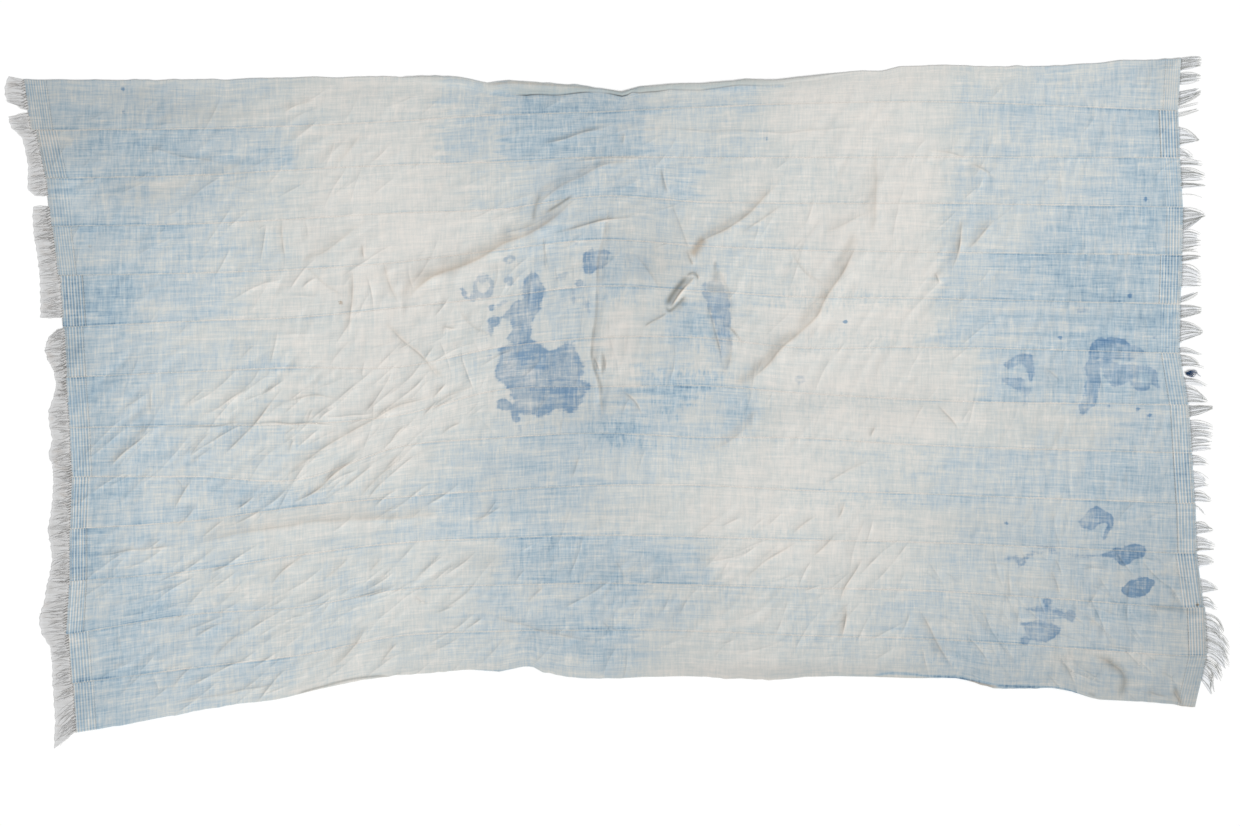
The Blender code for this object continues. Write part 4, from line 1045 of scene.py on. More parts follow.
def gridFaces(rows, columns, first=0):
    # the quads of a grid whose points run along the columns first
    corner = first + np.arange(rows * columns).reshape(rows, columns)
    quads = np.stack((corner[:-1, :-1], corner[:-1, 1:], corner[1:, 1:], corner[1:, :-1]), axis=-1)
    return quads.reshape(-1, 4)


def borderLoop(rows, columns, first=0):
    # the points round a grid's border, in order
    corner = first + np.arange(rows * columns).reshape(rows, columns)
    return np.concatenate((corner[0, :-1], corner[:-1, -1], corner[-1, :0:-1], corner[:0:-1, 0]))


# the woven strips

cloth = {
    "thickness": 1.3,
    "rimShare": 0.9,  # share of the thickness left at the very edge
    "rimWidth": 1.0,
    "cellsAlong": 840,
    "endCell": 0.2,  # width of the cells at both ends, as a share of the others: their rim shades cleanly
    "rowsNearEdge": (0.0, 0.01, 0.03, 0.06),
    "middleRows": 25,
    "underStep": 4,  # the underside keeps every fourth point
    "seamGap": 0.01,
    "stripWidth": 0.083,
    "flatLength": 1.92,
    "threadOffset": 0.4,  # metres between the strips in the map of the threads, so that none repeats
    "edgeWave": 0.7,
}
# white weft near the ends of each strip, from the top strip down: distance of the first line from
# the end, spacing, how many lines and how strongly they show
leftBands = (
    (6, 4.2, 8, 0.7), (5, 4.9, 7, 0.9), (6, 5.0, 7, 0.5), (4, 4.4, 7, 0.6), (2.5, 5.0, 8, 1.1),
    (4, 5.1, 6, 0.9), (2.5, 5.0, 7, 0.7), (2.5, 4.9, 7, 0.8), (4, 5.0, 6, 1.1), (3.5, 5.0, 6, 1.1),
    (5.5, 4.7, 6, 0.8), (1.5, 5.1, 7, 0.9), (2, 5.0, 7, 0.8),
)
rightBands = (
    (5, 4.0, 6, 0.4), (5, 5.1, 6, 1.2), (5, 4.5, 6, 0.5), (6, 4.8, 5, 0.8), (5, 5.0, 7, 0.9),
    (6, 5.0, 6, 0.6), (5, 5.0, 6, 0.7), (5, 5.0, 6, 0.8), (5, 5.0, 6, 1.1), (4, 5.2, 6, 0.8),
    (4, 5.0, 7, 1.1), (5, 4.8, 6, 0.9), (6, 4.6, 6, 0.4),
)


def stripGrid(number):
    # a grid on one strip: X runs between its two end lines, Y between its two long edges; the
    # outer edges of the throw are a little uneven
    near = np.array(cloth["rowsNearEdge"])
    middle = np.linspace(0.09, 0.91, cloth["middleRows"])
    across = np.concatenate((near, middle, 1 - near[::-1]))[:, None]
    along = np.linspace(0.0, 1.0, cloth["cellsAlong"] + 1)[None, :]
    along[0, 1] *= cloth["endCell"]
    along[0, -2] = 1 - along[0, 1]
    left = np.interp(across, (0, 1), leftEnds[number])
    right = np.interp(across, (0, 1), rightEnds[number])
    x = left + (right - left) * along
    upper, lower = edgeHeight(number, x), edgeHeight(number + 1, x)
    strength = np.clip(0.6 + 0.5 * ripple(x, 0 * x, 23, 6, 120, 400), 0.1, 2)
    uneven = ripple(x, 0 * x, 21 + number, 14, 12, 60) * strength
    uneven = cloth["edgeWave"] * (0.6 * uneven + 1.1 * ripple(x, 0 * x, 24 + number, 10, 50, 200))
    upper = upper + uneven if number == 0 else upper - cloth["seamGap"] / 2
    lower = lower + uneven if number == lastStrip else lower + cloth["seamGap"] / 2
    y = upper + (lower - upper) * across
    return x, y, across + 0 * x, left, right, upper, lower


def lowestRound(values, step):
    # every step-th point of a grid, with the lowest value of the cells round it
    padded = np.pad(values, step, mode="edge")
    windows = np.lib.stride_tricks.sliding_window_view(padded, (2 * step + 1, 2 * step + 1))
    return windows[::step, ::step].min(axis=(2, 3))


def wovenStrip(number):
    # the grid raised by the cloth's height; a coarser grid under it, never above the cloth, makes
    # the underside, and a rim joins their borders
    x, y, across, left, right, upper, lower = stripGrid(number)
    under, marks = clothHeight(number, x, y, left, right)
    rim = np.minimum(x - left, right - x)
    if number == 0:
        rim = np.minimum(rim, upper - y)
    if number == lastStrip:
        rim = np.minimum(rim, y - lower)
    swell = np.clip(rim / cloth["rimWidth"], 0, 1)
    rounded = (1 - cloth["rimShare"]) * np.sqrt(1 - (1 - swell) ** 2)
    thick = cloth["thickness"] * (cloth["rimShare"] + rounded)
    rows, columns = x.shape
    step = cloth["underStep"]
    top = np.stack((x, y, under + thick), axis=-1).reshape(-1, 3)
    bottom = np.stack((x[::step, ::step], y[::step, ::step], lowestRound(under, step)), axis=-1)
    underRows, underColumns = bottom.shape[:2]
    bottom = bottom.reshape(-1, 3)
    first = rows * columns
    upperLoop = borderLoop(rows, columns)
    lowerLoop = borderLoop(underRows, underColumns, first)
    ahead = [np.roll(upperLoop, -turn)[::step] for turn in range(step + 1)]
    rimFaces = np.stack((*ahead, np.roll(lowerLoop, -1), lowerLoop), axis=-1)
    faces = rimFaces.tolist()
    faces += gridFaces(underRows, underColumns, first).tolist()
    faces += gridFaces(rows, columns)[:, ::-1].tolist()
    edge, tone = stainFields(x, y)
    turns, power = weftBand(number, x, left, right)
    above = upper - y if number > 0 else outOfReach
    below = y - lower if number < lastStrip else outOfReach
    lines = np.stack((x * mm, number * cloth["threadOffset"] + across * cloth["stripWidth"]), axis=-1)
    fields = {
        "dye": dyeLevel(number, x, y),
        "stainEdge": edge,
        "stainTone": tone,
        **marks,
        # painted shade and soil along the folds and the brown lines
        "shadeAndSoil": np.maximum(marks["shadeAndSoil"], paintedLines(x, y, shadeAndSoilLines)),
        # darker areas: greyer cloth and painted shade
        "greyAndShade": greyAndShadeAt(x, y),
        # painted shade in creases and along folds
        "creaseShade": paintedLines(x, y, creaseShadeLines),
        "bandTurns": turns,
        "bandPower": power,
        "seamDistance": np.minimum(above, below),
    }
    both = {k: np.concatenate((v.ravel(), v[::step, ::step].ravel())) for k, v in fields.items()}
    allLines = np.concatenate((lines.reshape(-1, 2), lines[::step, ::step].reshape(-1, 2)))
    points = np.concatenate((top, bottom))
    smooth = np.arange(len(faces)) >= len(rimFaces)
    return addMesh(f"clothStrip_{number + 1:02d}", points, faces, smooth, allLines, both)


# fringe

fringe = {
    "seed": 77,
    "stationCount": 7,
    "perWidth": 83,  # width of cloth that the numbers of threads and of cells are given for
    "leftThreads": 74,
    "leftRadius": (0.2, 0.36),
    "leftDark": 0.14,  # share of the threads that are dark
    "leftSlant": 5,  # how far down the threads lean on their way to the tips
    "gapShadePitch": 4.3,  # spacing of the dark tubes at the cloth's left edge, painted shade in the gaps between the threads
    "rightRadius": (0.27, 0.46),
    "rightDark": 0.75,
    "rootInside": 2.0,
    "rootHeight": 1.2,
    "matHeight": 1.5,
    "webHeight": 0.3,
    "matCells": (44, 8),
    "matBody": 0.985,  # where the last, narrow cell of a mat starts, so that its border shades cleanly
    "sideCell": 0.4,  # width of the narrow cells at the sides of a mat
    "knot": ((951, 48), (964, 47), 14),  # where the indigo knot starts and ends, and its threads
}


def threadTubes(start, end, bend, radius, lift, wobble, darkShare, chance):
    # four-sided rings carried along a path: straight from start to end, plus a bow of size bend and
    # a wavy wobble across it; it comes down from the cloth's edge to the table and thins to its tip
    count = len(start)
    t = np.linspace(0, 1, fringe["stationCount"])[None, :]
    run = end - start
    length = np.hypot(run[:, 0], run[:, 1])[:, None]
    side = np.stack((-run[:, 1], run[:, 0]), axis=-1) / length
    turns = chance.uniform(1.0, 2.6, (count, 1))
    begin = chance.uniform(0, 6.3, (count, 1))
    waver = wobble[:, None] * (np.sin(t * turns * 2 * math.pi + begin) - np.sin(begin)) * t
    offset = bend[:, None] * np.sin(t * math.pi) + waver
    path = start[:, None, :] + run[:, None, :] * t[..., None] + side[:, None, :] * offset[..., None]
    thin = radius[:, None] * (1 - 0.6 * t**3)
    fall = (fringe["rootHeight"] - radius[:, None]) * (1 - t) ** 2
    height = thin + fall + lift[:, None] * np.sin(t * math.pi)
    turn = np.arange(4) * math.pi / 2 + math.pi / 4
    flatPart = np.cos(turn)[None, None, :, None] * side[:, None, None, :] * thin[:, :, None, None]
    ring = path[:, :, None, :] + flatPart
    level = height[:, :, None] + np.sin(turn)[None, None, :] * thin[:, :, None]
    points = np.concatenate((ring, level[..., None]), axis=-1).reshape(-1, 3)
    number = np.arange(count * t.size * 4).reshape(count, t.size, 4)
    a, b = number[:, :-1], number[:, 1:]
    walls = np.stack((a, np.roll(a, -1, 2), np.roll(b, -1, 2), b), axis=-1).reshape(-1, 4)
    caps = np.concatenate((number[:, 0, ::-1], number[:, -1]))
    dark = chance.uniform(0, 1, count) < darkShare
    tone = np.where(dark, chance.uniform(0, 0.25, count), chance.uniform(0.55, 1, count))
    tone = np.repeat(tone, t.size * 4)
    along = np.broadcast_to(length * t * mm, (count, t.size)).repeat(4).ravel()
    lines = np.stack((along, tone * 5), axis=-1)
    reach = np.broadcast_to(t, (count, t.size)).repeat(4).ravel()
    faces = np.concatenate((walls, caps))
    return points, faces, np.ones(len(faces), bool), lines, tone, reach


def endX(side, number, y):
    # X of a strip's end line at height Y
    ends = (leftEnds if side == "left" else rightEnds)[number]
    upper = edgeHeight(number, np.array(float(ends[0])))
    lower = edgeHeight(number + 1, np.array(float(ends[1])))
    return np.interp(y, (lower, upper), (ends[1], ends[0])), float(upper), float(lower)


def matSheet(roots, tips, rise, shade, chance):
    # a low felted mass under the threads, from the roots nearly to the tips: it thins evenly towards
    # them, is a little wavy across, and is flat below
    across, along = len(roots), fringe["matCells"][1] + 1
    t = np.append(np.linspace(0, fringe["matBody"], along - 1), 1.0)[None, :, None]
    reach = 0.96 + 0.03 * np.sin(np.arange(across) * 0.9) * chance.uniform(0.4, 1, across)
    plan = roots[:, None, :] + (tips - roots)[:, None, :] * t * reach[:, None, None]
    edges = np.minimum(np.arange(across), np.arange(across)[::-1]) / 3
    dome = rise * (1 - 0.86 * t[..., 0]) * smoothStep(edges + 0.75)[:, None]
    dome = np.maximum(dome * (0.86 + 0.14 * np.sin(np.arange(across) * 1.7))[:, None], 0.12)
    top = np.concatenate((plan, dome[..., None]), axis=-1).reshape(-1, 3)
    bottom = np.concatenate((plan, 0 * dome[..., None]), axis=-1).reshape(-1, 3)
    upperLoop = borderLoop(across, along)
    lowerLoop = upperLoop + across * along
    rim = np.stack((upperLoop, np.roll(upperLoop, -1), np.roll(lowerLoop, -1), lowerLoop), axis=-1)
    under = gridFaces(across, along, across * along)
    faces = np.concatenate((rim, under, gridFaces(across, along)[:, ::-1]))
    smooth = np.arange(len(faces)) >= len(rim)
    points = np.concatenate((top, bottom))
    lines = np.concatenate((plan, plan)).reshape(-1, 2) * mm
    reach = np.tile(np.broadcast_to(t[..., 0], dome.shape).ravel(), 2)
    return points, faces, smooth, lines, np.full(len(points), shade), reach


def joinParts(name, parts):
    # several sets of points and faces as one mesh
    points, faces, smooth, lines, tones, reaches = zip(*parts)
    first = np.cumsum([0] + [len(group) for group in points[:-1]])
    numbered = np.concatenate([group + start for group, start in zip(faces, first)]).tolist()
    fields = {"threadTone": np.concatenate(tones), "reach": np.concatenate(reaches)}
    points, smooth, lines = (np.concatenate(group) for group in (points, smooth, lines))
    return addMesh(name, points, numbered, smooth, lines, fields)


def leftFringe(number, chance):
    # threads from evenly spread roots to the tips of the tuft that they are in, on a felted mass
    _, upper, lower = endX("left", number, 0.0)
    parts = []
    for tuft in leftTufts:
        rootLine = np.array([p[0] for p in tuft], float)[::-1]
        high, low = min(upper - 0.1, rootLine[-1]), max(lower + 0.1, rootLine[0])
        if high - low < 3:
            continue
        tipsX = np.array([p[1] for p in tuft], float)[::-1]
        tipsY = np.array([p[2] for p in tuft], float)[::-1]

        def tipAt(rootY):
            return np.stack((np.interp(rootY, rootLine, tipsX), np.interp(rootY, rootLine, tipsY)), axis=-1)

        def rootAt(rootY, inside):
            return np.stack((endX("left", number, rootY)[0] + inside, rootY), axis=-1)

        wide = (high - low) / fringe["perWidth"]
        share = np.linspace(low, high, max(4, round(fringe["matCells"][0] * wide)))
        share = np.sort(np.append(share, (low + fringe["sideCell"], high - fringe["sideCell"])))
        parts.append(matSheet(rootAt(share, 0.6), tipAt(share), fringe["matHeight"], 0.75, chance))
        count = max(3, round(fringe["leftThreads"] * wide))
        rootY = np.sort(chance.uniform(low, high, count))
        clump = 4.5 * np.sin(rootY / 9 + number) + 2.4 * np.sin(rootY / 4.1) + chance.normal(0, 4.5, count)
        end = tipAt(np.clip(rootY + clump - fringe["leftSlant"], low, high))
        start = rootAt(rootY, fringe["rootInside"])
        end = start + (end - start) * chance.uniform(0.5, 1.02, count)[:, None]
        parts.append(threadTubes(
            start, end, chance.normal(0, 2.0, count), chance.uniform(*fringe["leftRadius"], count),
            chance.uniform(0.3, 1.2, count), chance.uniform(0.3, 1.4, count), fringe["leftDark"], chance,
        ))
        # dark tubes raised over the roots, with the gap shade colour: painted shade in the gaps between the
        # threads
        count = max(2, round((high - low) / fringe["gapShadePitch"]))
        gapShadeY = np.linspace(low + 2.5, high - 0.5, count) + chance.normal(0, 0.6, count)
        long = np.clip(0.4 + 0.7 * np.sin(gapShadeY / 19 + 2 * number), 0.08, 1) * chance.uniform(0.5, 1.1, count)
        gapShade = threadTubes(
            rootAt(gapShadeY, chance.uniform(0.6, 1.8, count)),
            rootAt(gapShadeY, -1 - 7 * long) - np.stack((0 * long, 0.8 + 3.2 * long), axis=-1),
            np.zeros(count), 0.22 + 0.25 * long, np.zeros(count), np.zeros(count), 1.0, chance,
        )
        raised = gapShade[0] + np.array((0, 0, 1.0)) * (0.9 + 0.8 * gapShade[5][:, None])
        parts.append((raised, *gapShade[1:4], gapShade[4] * 0 - 1.0, gapShade[5]))
    return joinParts(f"fringeLeft_{number + 1:02d}", parts)


def rightFringe(number, chance):
    # bunches of thin threads that run out from their roots and gather only near one tip, over a
    # thin pale web of broken threads
    _, upper, lower = endX("right", number, 0.0)
    parts = []
    for high, low, tipX, tipY, spread, count in rightClumps:
        middle = (high + low) / 2
        if not lower <= middle < upper:
            continue
        ends = min(high, upper - 0.5), max(low, lower + 0.5)
        count = max(1, round(count * 1.05))
        rootY = np.linspace(*ends, count + 2)[1:-1] + chance.uniform(-0.9, 0.9, count)
        start = np.stack((endX("right", number, rootY)[0] - fringe["rootInside"], rootY), axis=-1)
        share = np.linspace(0.5, -0.5, count)
        end = np.stack((
            tipX + 4 - 9 * chance.uniform(0, 1, count) ** 2 - 2 * np.abs(share),
            tipY + share * (0.7 * spread + 1.5) + chance.normal(0, 0.9, count),
        ), axis=-1)
        bow = (rootY - tipY) * 0.16 + 1.5 + chance.normal(0, 1.0, count)
        parts.append(threadTubes(
            start, end, bow, chance.uniform(*fringe["rightRadius"], count),
            chance.uniform(0.1, 0.9, count), chance.uniform(0.1, 0.6, count), fringe["rightDark"], chance,
        ))
        if count > 3:
            across = np.linspace(*ends, 10)
            roots = np.stack((endX("right", number, across)[0] - 0.6, across), axis=-1)
            tipLine = tipY + (across - middle) / (high - low) * (0.6 * spread + 0.15 * (high - low))
            tips = np.stack((np.full(10, tipX - 3.0), tipLine), axis=-1)
            web = matSheet(roots, tips, fringe["webHeight"], 1.0, chance)
            parts.append((*web[:5], 0.6 * web[5]))
    (startX, startY), (endKnotX, endKnotY), count = fringe["knot"]
    if lower <= startY < upper:
        start = np.array((startX, startY)) + chance.normal(0, 1.6, (count, 2))
        end = np.array((endKnotX, endKnotY)) + chance.normal(0, 1.2, (count, 2)) * np.array((4.0, 1.0))
        knot = threadTubes(
            start, end, chance.normal(0, 4, count), chance.uniform(0.5, 0.9, count),
            chance.uniform(0.5, 2.5, count), chance.uniform(0.5, 2.5, count), 0.0, chance,
        )
        parts.append((*knot[:4], knot[4] * 0 - 1.0, knot[5]))
    return joinParts(f"fringeRight_{number + 1:02d}", parts)


# sewing

sewing = {
    "pitch": 5.6,
    "reachAcross": 0.7,
    "slant": 2.5,
    "radius": 0.25,
    "rise": -0.05,
    "endMargin": 6,
    "seed": 12,
}


def seamStitches():
    # slanted oversewing: each stitch is a three-sided thread in two stretches, over the bead of the
    # seam from one strip into the next
    chance = np.random.default_rng(sewing["seed"])
    places, faces, first = [], [], 0
    for seam in range(1, stripCount):
        start = max(leftEnds[seam - 1][1], leftEnds[seam][0]) + sewing["endMargin"]
        end = min(rightEnds[seam - 1][1], rightEnds[seam][0]) - sewing["endMargin"]
        count = int((end - start) / sewing["pitch"])
        x = np.linspace(start, end, count) + chance.normal(0, 0.7, count)
        share = np.array((-1.0, 0.0, 1.0))[None, :]
        reach = sewing["reachAcross"] * chance.uniform(0.8, 1.15, count)[:, None]
        lineX = x[:, None] - share * sewing["slant"]
        lineY = edgeHeight(seam, lineX) + share * reach
        lift = np.zeros(lineX.shape)
        for number, part in ((seam - 1, share[0] >= 0), (seam, share[0] < 0)):
            ends = leftEnds[number][0], rightEnds[number][0]
            lift[:, part] = clothHeight(number, lineX[:, part], lineY[:, part], *ends)[0]
        lift += cloth["thickness"] + sewing["rise"] - 0.1 * np.abs(share)
        turn = np.arange(3) * 2 * math.pi / 3 + math.pi / 2
        ringX = lineX[:, :, None] + sewing["radius"] * np.cos(turn)[None, None, :]
        ringZ = lift[:, :, None] + sewing["radius"] * np.sin(turn)[None, None, :]
        ringY = np.broadcast_to(lineY[:, :, None], ringX.shape)
        places.append(np.stack((ringX, ringY, ringZ), axis=-1).reshape(-1, 3))
        number = first + np.arange(count * 9).reshape(count, 3, 3)
        a, b = number[:, :-1], number[:, 1:]
        walls = np.stack((a, b, np.roll(b, -1, 2), np.roll(a, -1, 2)), axis=-1).reshape(-1, 4)
        faces += walls.tolist() + number[:, 0].tolist() + number[:, 2, ::-1].tolist()
        first += count * 9
    points = np.concatenate(places)
    tone = chance.uniform(0, 1, len(points) // 9).repeat(9)
    fields = {"threadTone": tone, "reach": np.full(len(points), 0.5)}
    return addMesh("seamStitches", points, faces, np.ones(len(faces), bool), points[:, :2] * mm, fields)


# materials

looks = {
    "flatLight": 1.1,  # what a level white surface sends back, so that tones can be given as seen
    # dye strength and the tone of the cloth there, as red, green, blue out of 255
    "dyeTones": (
        (0.0, (226, 222, 216)), (0.3, (207, 211, 209)), (0.55, (192, 203, 209)), (0.8, (176, 194, 205)),
        (1.05, (160, 183, 199)), (1.3, (141, 167, 188)), (1.6, (110, 140, 165)),
    ),
    "dyeTop": 1.6,
    "streakAlways": 0.034,  # how far the streaks move the dye level, and how much further where dyed
    "streakByDye": 0.18,
    "streakShade": -0.14,  # how much darker the bluer threads are beyond their dye
    # paler dye just on the lit side of a ridge's crest, worn dye with a painted highlight; then the painted
    # highlight on a fold's lit side and the painted shade on its shade side
    "crestWearAndHighlight": 0.15,
    "foldLit": 0.03,
    "foldShade": 0.1,
    "foldDepth": 0.00026,
    "stainShade": (0.41, 0.555, 0.74),  # what a full stain leaves of the light
    # the brown of the painted shade and soil on the folds
    "shadeAndSoilTone": (166, 140, 108),
    "shadeAndSoilAmount": 0.28,
    "brownShade": (0.55, 0.40, 0.28),
    # the dark grey of the painted shade in creases
    "creaseShadeTone": (92, 90, 80),
    # the grey-green of the hem's underside with painted shade, strongest near the groove
    "hemAndShadeTone": (156, 168, 168),
    "hemAmount": 0.6,
    # the painted shade in the groove under the rolled edge and in a second line on the roll
    "grooveShadeTone": (92, 98, 100),
    "grooveShadeAmount": 0.7,
    "seamPale": 0.5,
    "seamBlue": 0.1,
    "seamBlueByDye": 0.26,
    "seamShade": 0.05,
    "seamOverStain": 0.45,
    "warpCount": 820,  # threads to the metre
    "weftCount": 700,
    "weaveDepth": 0.00008,
    "threadWarpCount": 900,
    "threadWeftCount": 500,
    "threadDepth": 0.0002,
    "slubDepth": 0.00022,
    "bandPale": 0.4,
    "bandBlue": 0.43,
    "bandDepth": 0.0004,
    "fringePale": (217, 218, 219),
    "fringeDark": (166, 163, 159),
    "fringeRoot": (178, 168, 158),
    # the dark grey of the painted shade in the gaps between the threads at the left roots
    "fringeGapShade": (136, 136, 134),
    # the pale fuzzy outer edge of a mat, also a painted light against the shade of its sloping edge
    "fuzzAndEdgeLight": (250, 250, 251),
    "rightPale": (240, 242, 245),
    "rightDark": (168, 170, 165),
    "rightTip": (140, 144, 139),
    "indigo": (40, 68, 104),
    "stitchPale": (222, 220, 213),
    "stitchDark": (206, 207, 204),
}


def tone(colour):
    # a tone as seen, out of 255, as the base colour that gives it in this scene's light
    seen = np.array(colour, float) / 255
    linear = np.where(seen <= 0.04045, seen / 12.92, ((seen + 0.055) / 1.055) ** 2.4)
    return (*np.clip(linear / looks["flatLight"], 0, 1).tolist(), 1.0)


def addNode(tree, kind, inputs=None, **settings):
    # one node; its inputs are numbers, colours or other nodes' outputs
    made = tree.nodes.new(kind)
    for name, value in settings.items():
        setattr(made, name, value)
    for socket, value in (inputs or {}).items():
        if isinstance(value, bpy.types.NodeSocket):
            tree.links.new(value, made.inputs[socket])
        else:
            made.inputs[socket].default_value = value
    return made


def calc(tree, operation, *terms, clamp=False):
    # one math node: the operation done on numbers or on other nodes' outputs
    inputs = dict(enumerate(terms))
    return addNode(tree, "ShaderNodeMath", inputs, operation=operation, use_clamp=clamp).outputs[0]


def remap(tree, value, low, high, top=1.0, kind="LINEAR"):
    # 0 where the value is low, top where it is high, in proportion between, and level beyond both
    inputs = {"Value": value, "From Min": low, "From Max": high, "To Max": top}
    return addNode(tree, "ShaderNodeMapRange", inputs, interpolation_type=kind).outputs[0]


def bump(tree, height, depth, under=None):
    # relief as deep as depth times the height, over the relief that is given
    inputs = {"Height": height, "Distance": depth, "Strength": 1.0}
    if under is not None:
        inputs["Normal"] = under
    return addNode(tree, "ShaderNodeBump", inputs).outputs[0]


def startGroup(name, inputs, outputs):
    # a node group with its sockets; returns the tree, the outputs of its input node and the inputs of
    # its output node
    tree = bpy.data.node_groups.new(name, "ShaderNodeTree")
    for label, kind, value in inputs:
        socket = tree.interface.new_socket(name=label, in_out="INPUT", socket_type=kind)
        if value is not None:
            socket.default_value = value
    for label, kind in outputs:
        tree.interface.new_socket(name=label, in_out="OUTPUT", socket_type=kind)
    return tree, tree.nodes.new("NodeGroupInput").outputs, tree.nodes.new("NodeGroupOutput").inputs


def useGroup(tree, group, inputs):
    # a group placed in a tree with its inputs set; returns its outputs
    return addNode(tree, "ShaderNodeGroup", inputs, node_tree=group).outputs


def streakGroup():
    # noise stretched along the warp and along the weft, fine and coarse, with blotches and clouds,
    # each about its middle 0 and about 1 strong
    tree, given, out = startGroup(
        "threadStreaks",
        [("Lines", "NodeSocketVector", None), ("Fineness", "NodeSocketFloat", 1.0)],
        [("Streak", "NodeSocketFloat"), ("Warp", "NodeSocketFloat"), ("Weft", "NodeSocketFloat"),
         ("Cloud", "NodeSocketFloat"), ("Long", "NodeSocketFloat")],
    )
    lines = addNode(tree, "ShaderNodeSeparateXYZ", {0: given["Lines"]}).outputs

    def noise(alongScale, acrossScale, seed, detail):
        u = calc(tree, "MULTIPLY", lines[0], calc(tree, "MULTIPLY", given["Fineness"], alongScale))
        v = calc(tree, "MULTIPLY", lines[1], calc(tree, "MULTIPLY", given["Fineness"], acrossScale))
        place = addNode(tree, "ShaderNodeCombineXYZ", {0: u, 1: v, 2: seed}).outputs[0]
        inputs = {"Vector": place, "Scale": 1.0, "Detail": detail, "Roughness": 0.55}
        made = addNode(tree, "ShaderNodeTexNoise", inputs)
        return calc(tree, "MULTIPLY", calc(tree, "SUBTRACT", made.outputs[0], 0.5), 8.0)

    def mix(parts):
        total = None
        for part, share in parts:
            total = calc(tree, "MULTIPLY_ADD", part, share, total if total is not None else 0.0)
        return total

    warp, weft = noise(26, 400, 1.5, 1.0), noise(400, 40, 13.5, 1.0)
    warpMid, weftMid = noise(10, 110, 7.5, 1.5), noise(100, 18, 19.5, 1.5)
    cloud, far, speck = noise(40, 60, 25.5, 3.0), noise(9, 20, 31.5, 1.0), noise(300, 400, 37.5, 0.0)
    streak = mix((
        (warp, 0.72), (weft, 0.66), (speck, 0.15), (warpMid, 0.38), (weftMid, 0.32), (cloud, 0.18),
        (far, 0.28),
    ))
    outlets = ("Streak", streak), ("Warp", warp), ("Weft", weft), ("Cloud", cloud), ("Long", far)
    for label, value in outlets:
        tree.links.new(value, out[label])
    return tree


def weaveGroup():
    # plain weave: the product of a sine across the warp and one along it, so that high spots
    # alternate like threads going over and under
    tree, given, out = startGroup(
        "plainWeave",
        [("Lines", "NodeSocketVector", None), ("Warp Count", "NodeSocketFloat", 800.0),
         ("Weft Count", "NodeSocketFloat", 700.0)],
        [("Height", "NodeSocketFloat")],
    )
    lines = addNode(tree, "ShaderNodeSeparateXYZ", {0: given["Lines"]}).outputs
    waves = []
    for axis, count in ((1, "Warp Count"), (0, "Weft Count")):
        turns = calc(tree, "MULTIPLY", calc(tree, "MULTIPLY", lines[axis], given[count]), math.pi)
        waves.append(calc(tree, "SINE", turns))
    height = calc(tree, "MULTIPLY_ADD", calc(tree, "MULTIPLY", waves[0], waves[1]), 0.5, 0.5)
    tree.links.new(height, out["Height"])
    return tree


def tideGroup():
    # a dried stain: full inside its edge, which noise frays, mottled within, with a darker line
    # just inside the edge
    tree, given, out = startGroup(
        "driedStain",
        [("Edge", "NodeSocketFloat", 0.0), ("Tone", "NodeSocketFloat", 0.0),
         ("Streak", "NodeSocketFloat", 0.0), ("Cloud", "NodeSocketFloat", 0.0)],
        [("Stain", "NodeSocketFloat")],
    )
    frayed = calc(tree, "MULTIPLY_ADD", given["Cloud"], 1.5, given["Edge"])
    frayed = calc(tree, "MULTIPLY_ADD", given["Streak"], 0.35, frayed)
    inside = remap(tree, frayed, -1.9, 1.9, kind="SMOOTHSTEP")
    offset = calc(tree, "DIVIDE", calc(tree, "SUBTRACT", frayed, 1.6), 1.5)
    rim = calc(tree, "EXPONENT", calc(tree, "MULTIPLY", calc(tree, "MULTIPLY", offset, offset), -1.0))
    body = calc(tree, "MULTIPLY_ADD", given["Streak"], 0.13, calc(tree, "MULTIPLY_ADD", rim, 0.17, 0.8))
    body = calc(tree, "MULTIPLY_ADD", given["Cloud"], 0.17, body)
    tone = calc(tree, "MAXIMUM", given["Tone"], 0.0)
    stain = calc(tree, "MULTIPLY", calc(tree, "MULTIPLY", inside, tone), body, clamp=True)
    tree.links.new(stain, out["Stain"])
    return tree


streaks, weave, driedStain = streakGroup(), weaveGroup(), tideGroup()


def field(tree, name):
    # the values stored under a name on the mesh
    settings = {"attribute_name": name, "attribute_type": "GEOMETRY"}
    return addNode(tree, "ShaderNodeAttribute", **settings).outputs["Fac"]


def startMaterial(name, roughness):
    # a new material with little gloss; returns it with its tree and its shader
    material = bpy.data.materials.new(name)
    material.use_nodes = True
    shader = material.node_tree.nodes["Principled BSDF"]
    shader.inputs["Roughness"].default_value = roughness
    shader.inputs["Specular IOR Level"].default_value = 0.15
    return material, material.node_tree, shader


def ramp(tree, value, stops):
    # the tone of the stops beside the value, mixed in proportion
    made = addNode(tree, "ShaderNodeValToRGB", {"Fac": value})
    band = made.color_ramp
    while len(band.elements) < len(stops):
        band.elements.new(0.5)
    for element, (place, colour) in zip(band.elements, stops):
        element.position = place
        element.color = tone(colour)
    return made.outputs[0]


def blend(tree, share, under, over, kind="MIX"):
    # a share of one colour laid over another, or multiplied into it
    made = addNode(tree, "ShaderNodeMix", {0: share, 6: under, 7: over}, data_type="RGBA", blend_type=kind)
    return made.outputs[2]


def bell(tree, value, middle, width):
    # 1 at the middle, falling off as a bell
    away = calc(tree, "DIVIDE", calc(tree, "SUBTRACT", value, middle), width)
    return calc(tree, "EXPONENT", calc(tree, "MULTIPLY", calc(tree, "MULTIPLY", away, away), -1.0))


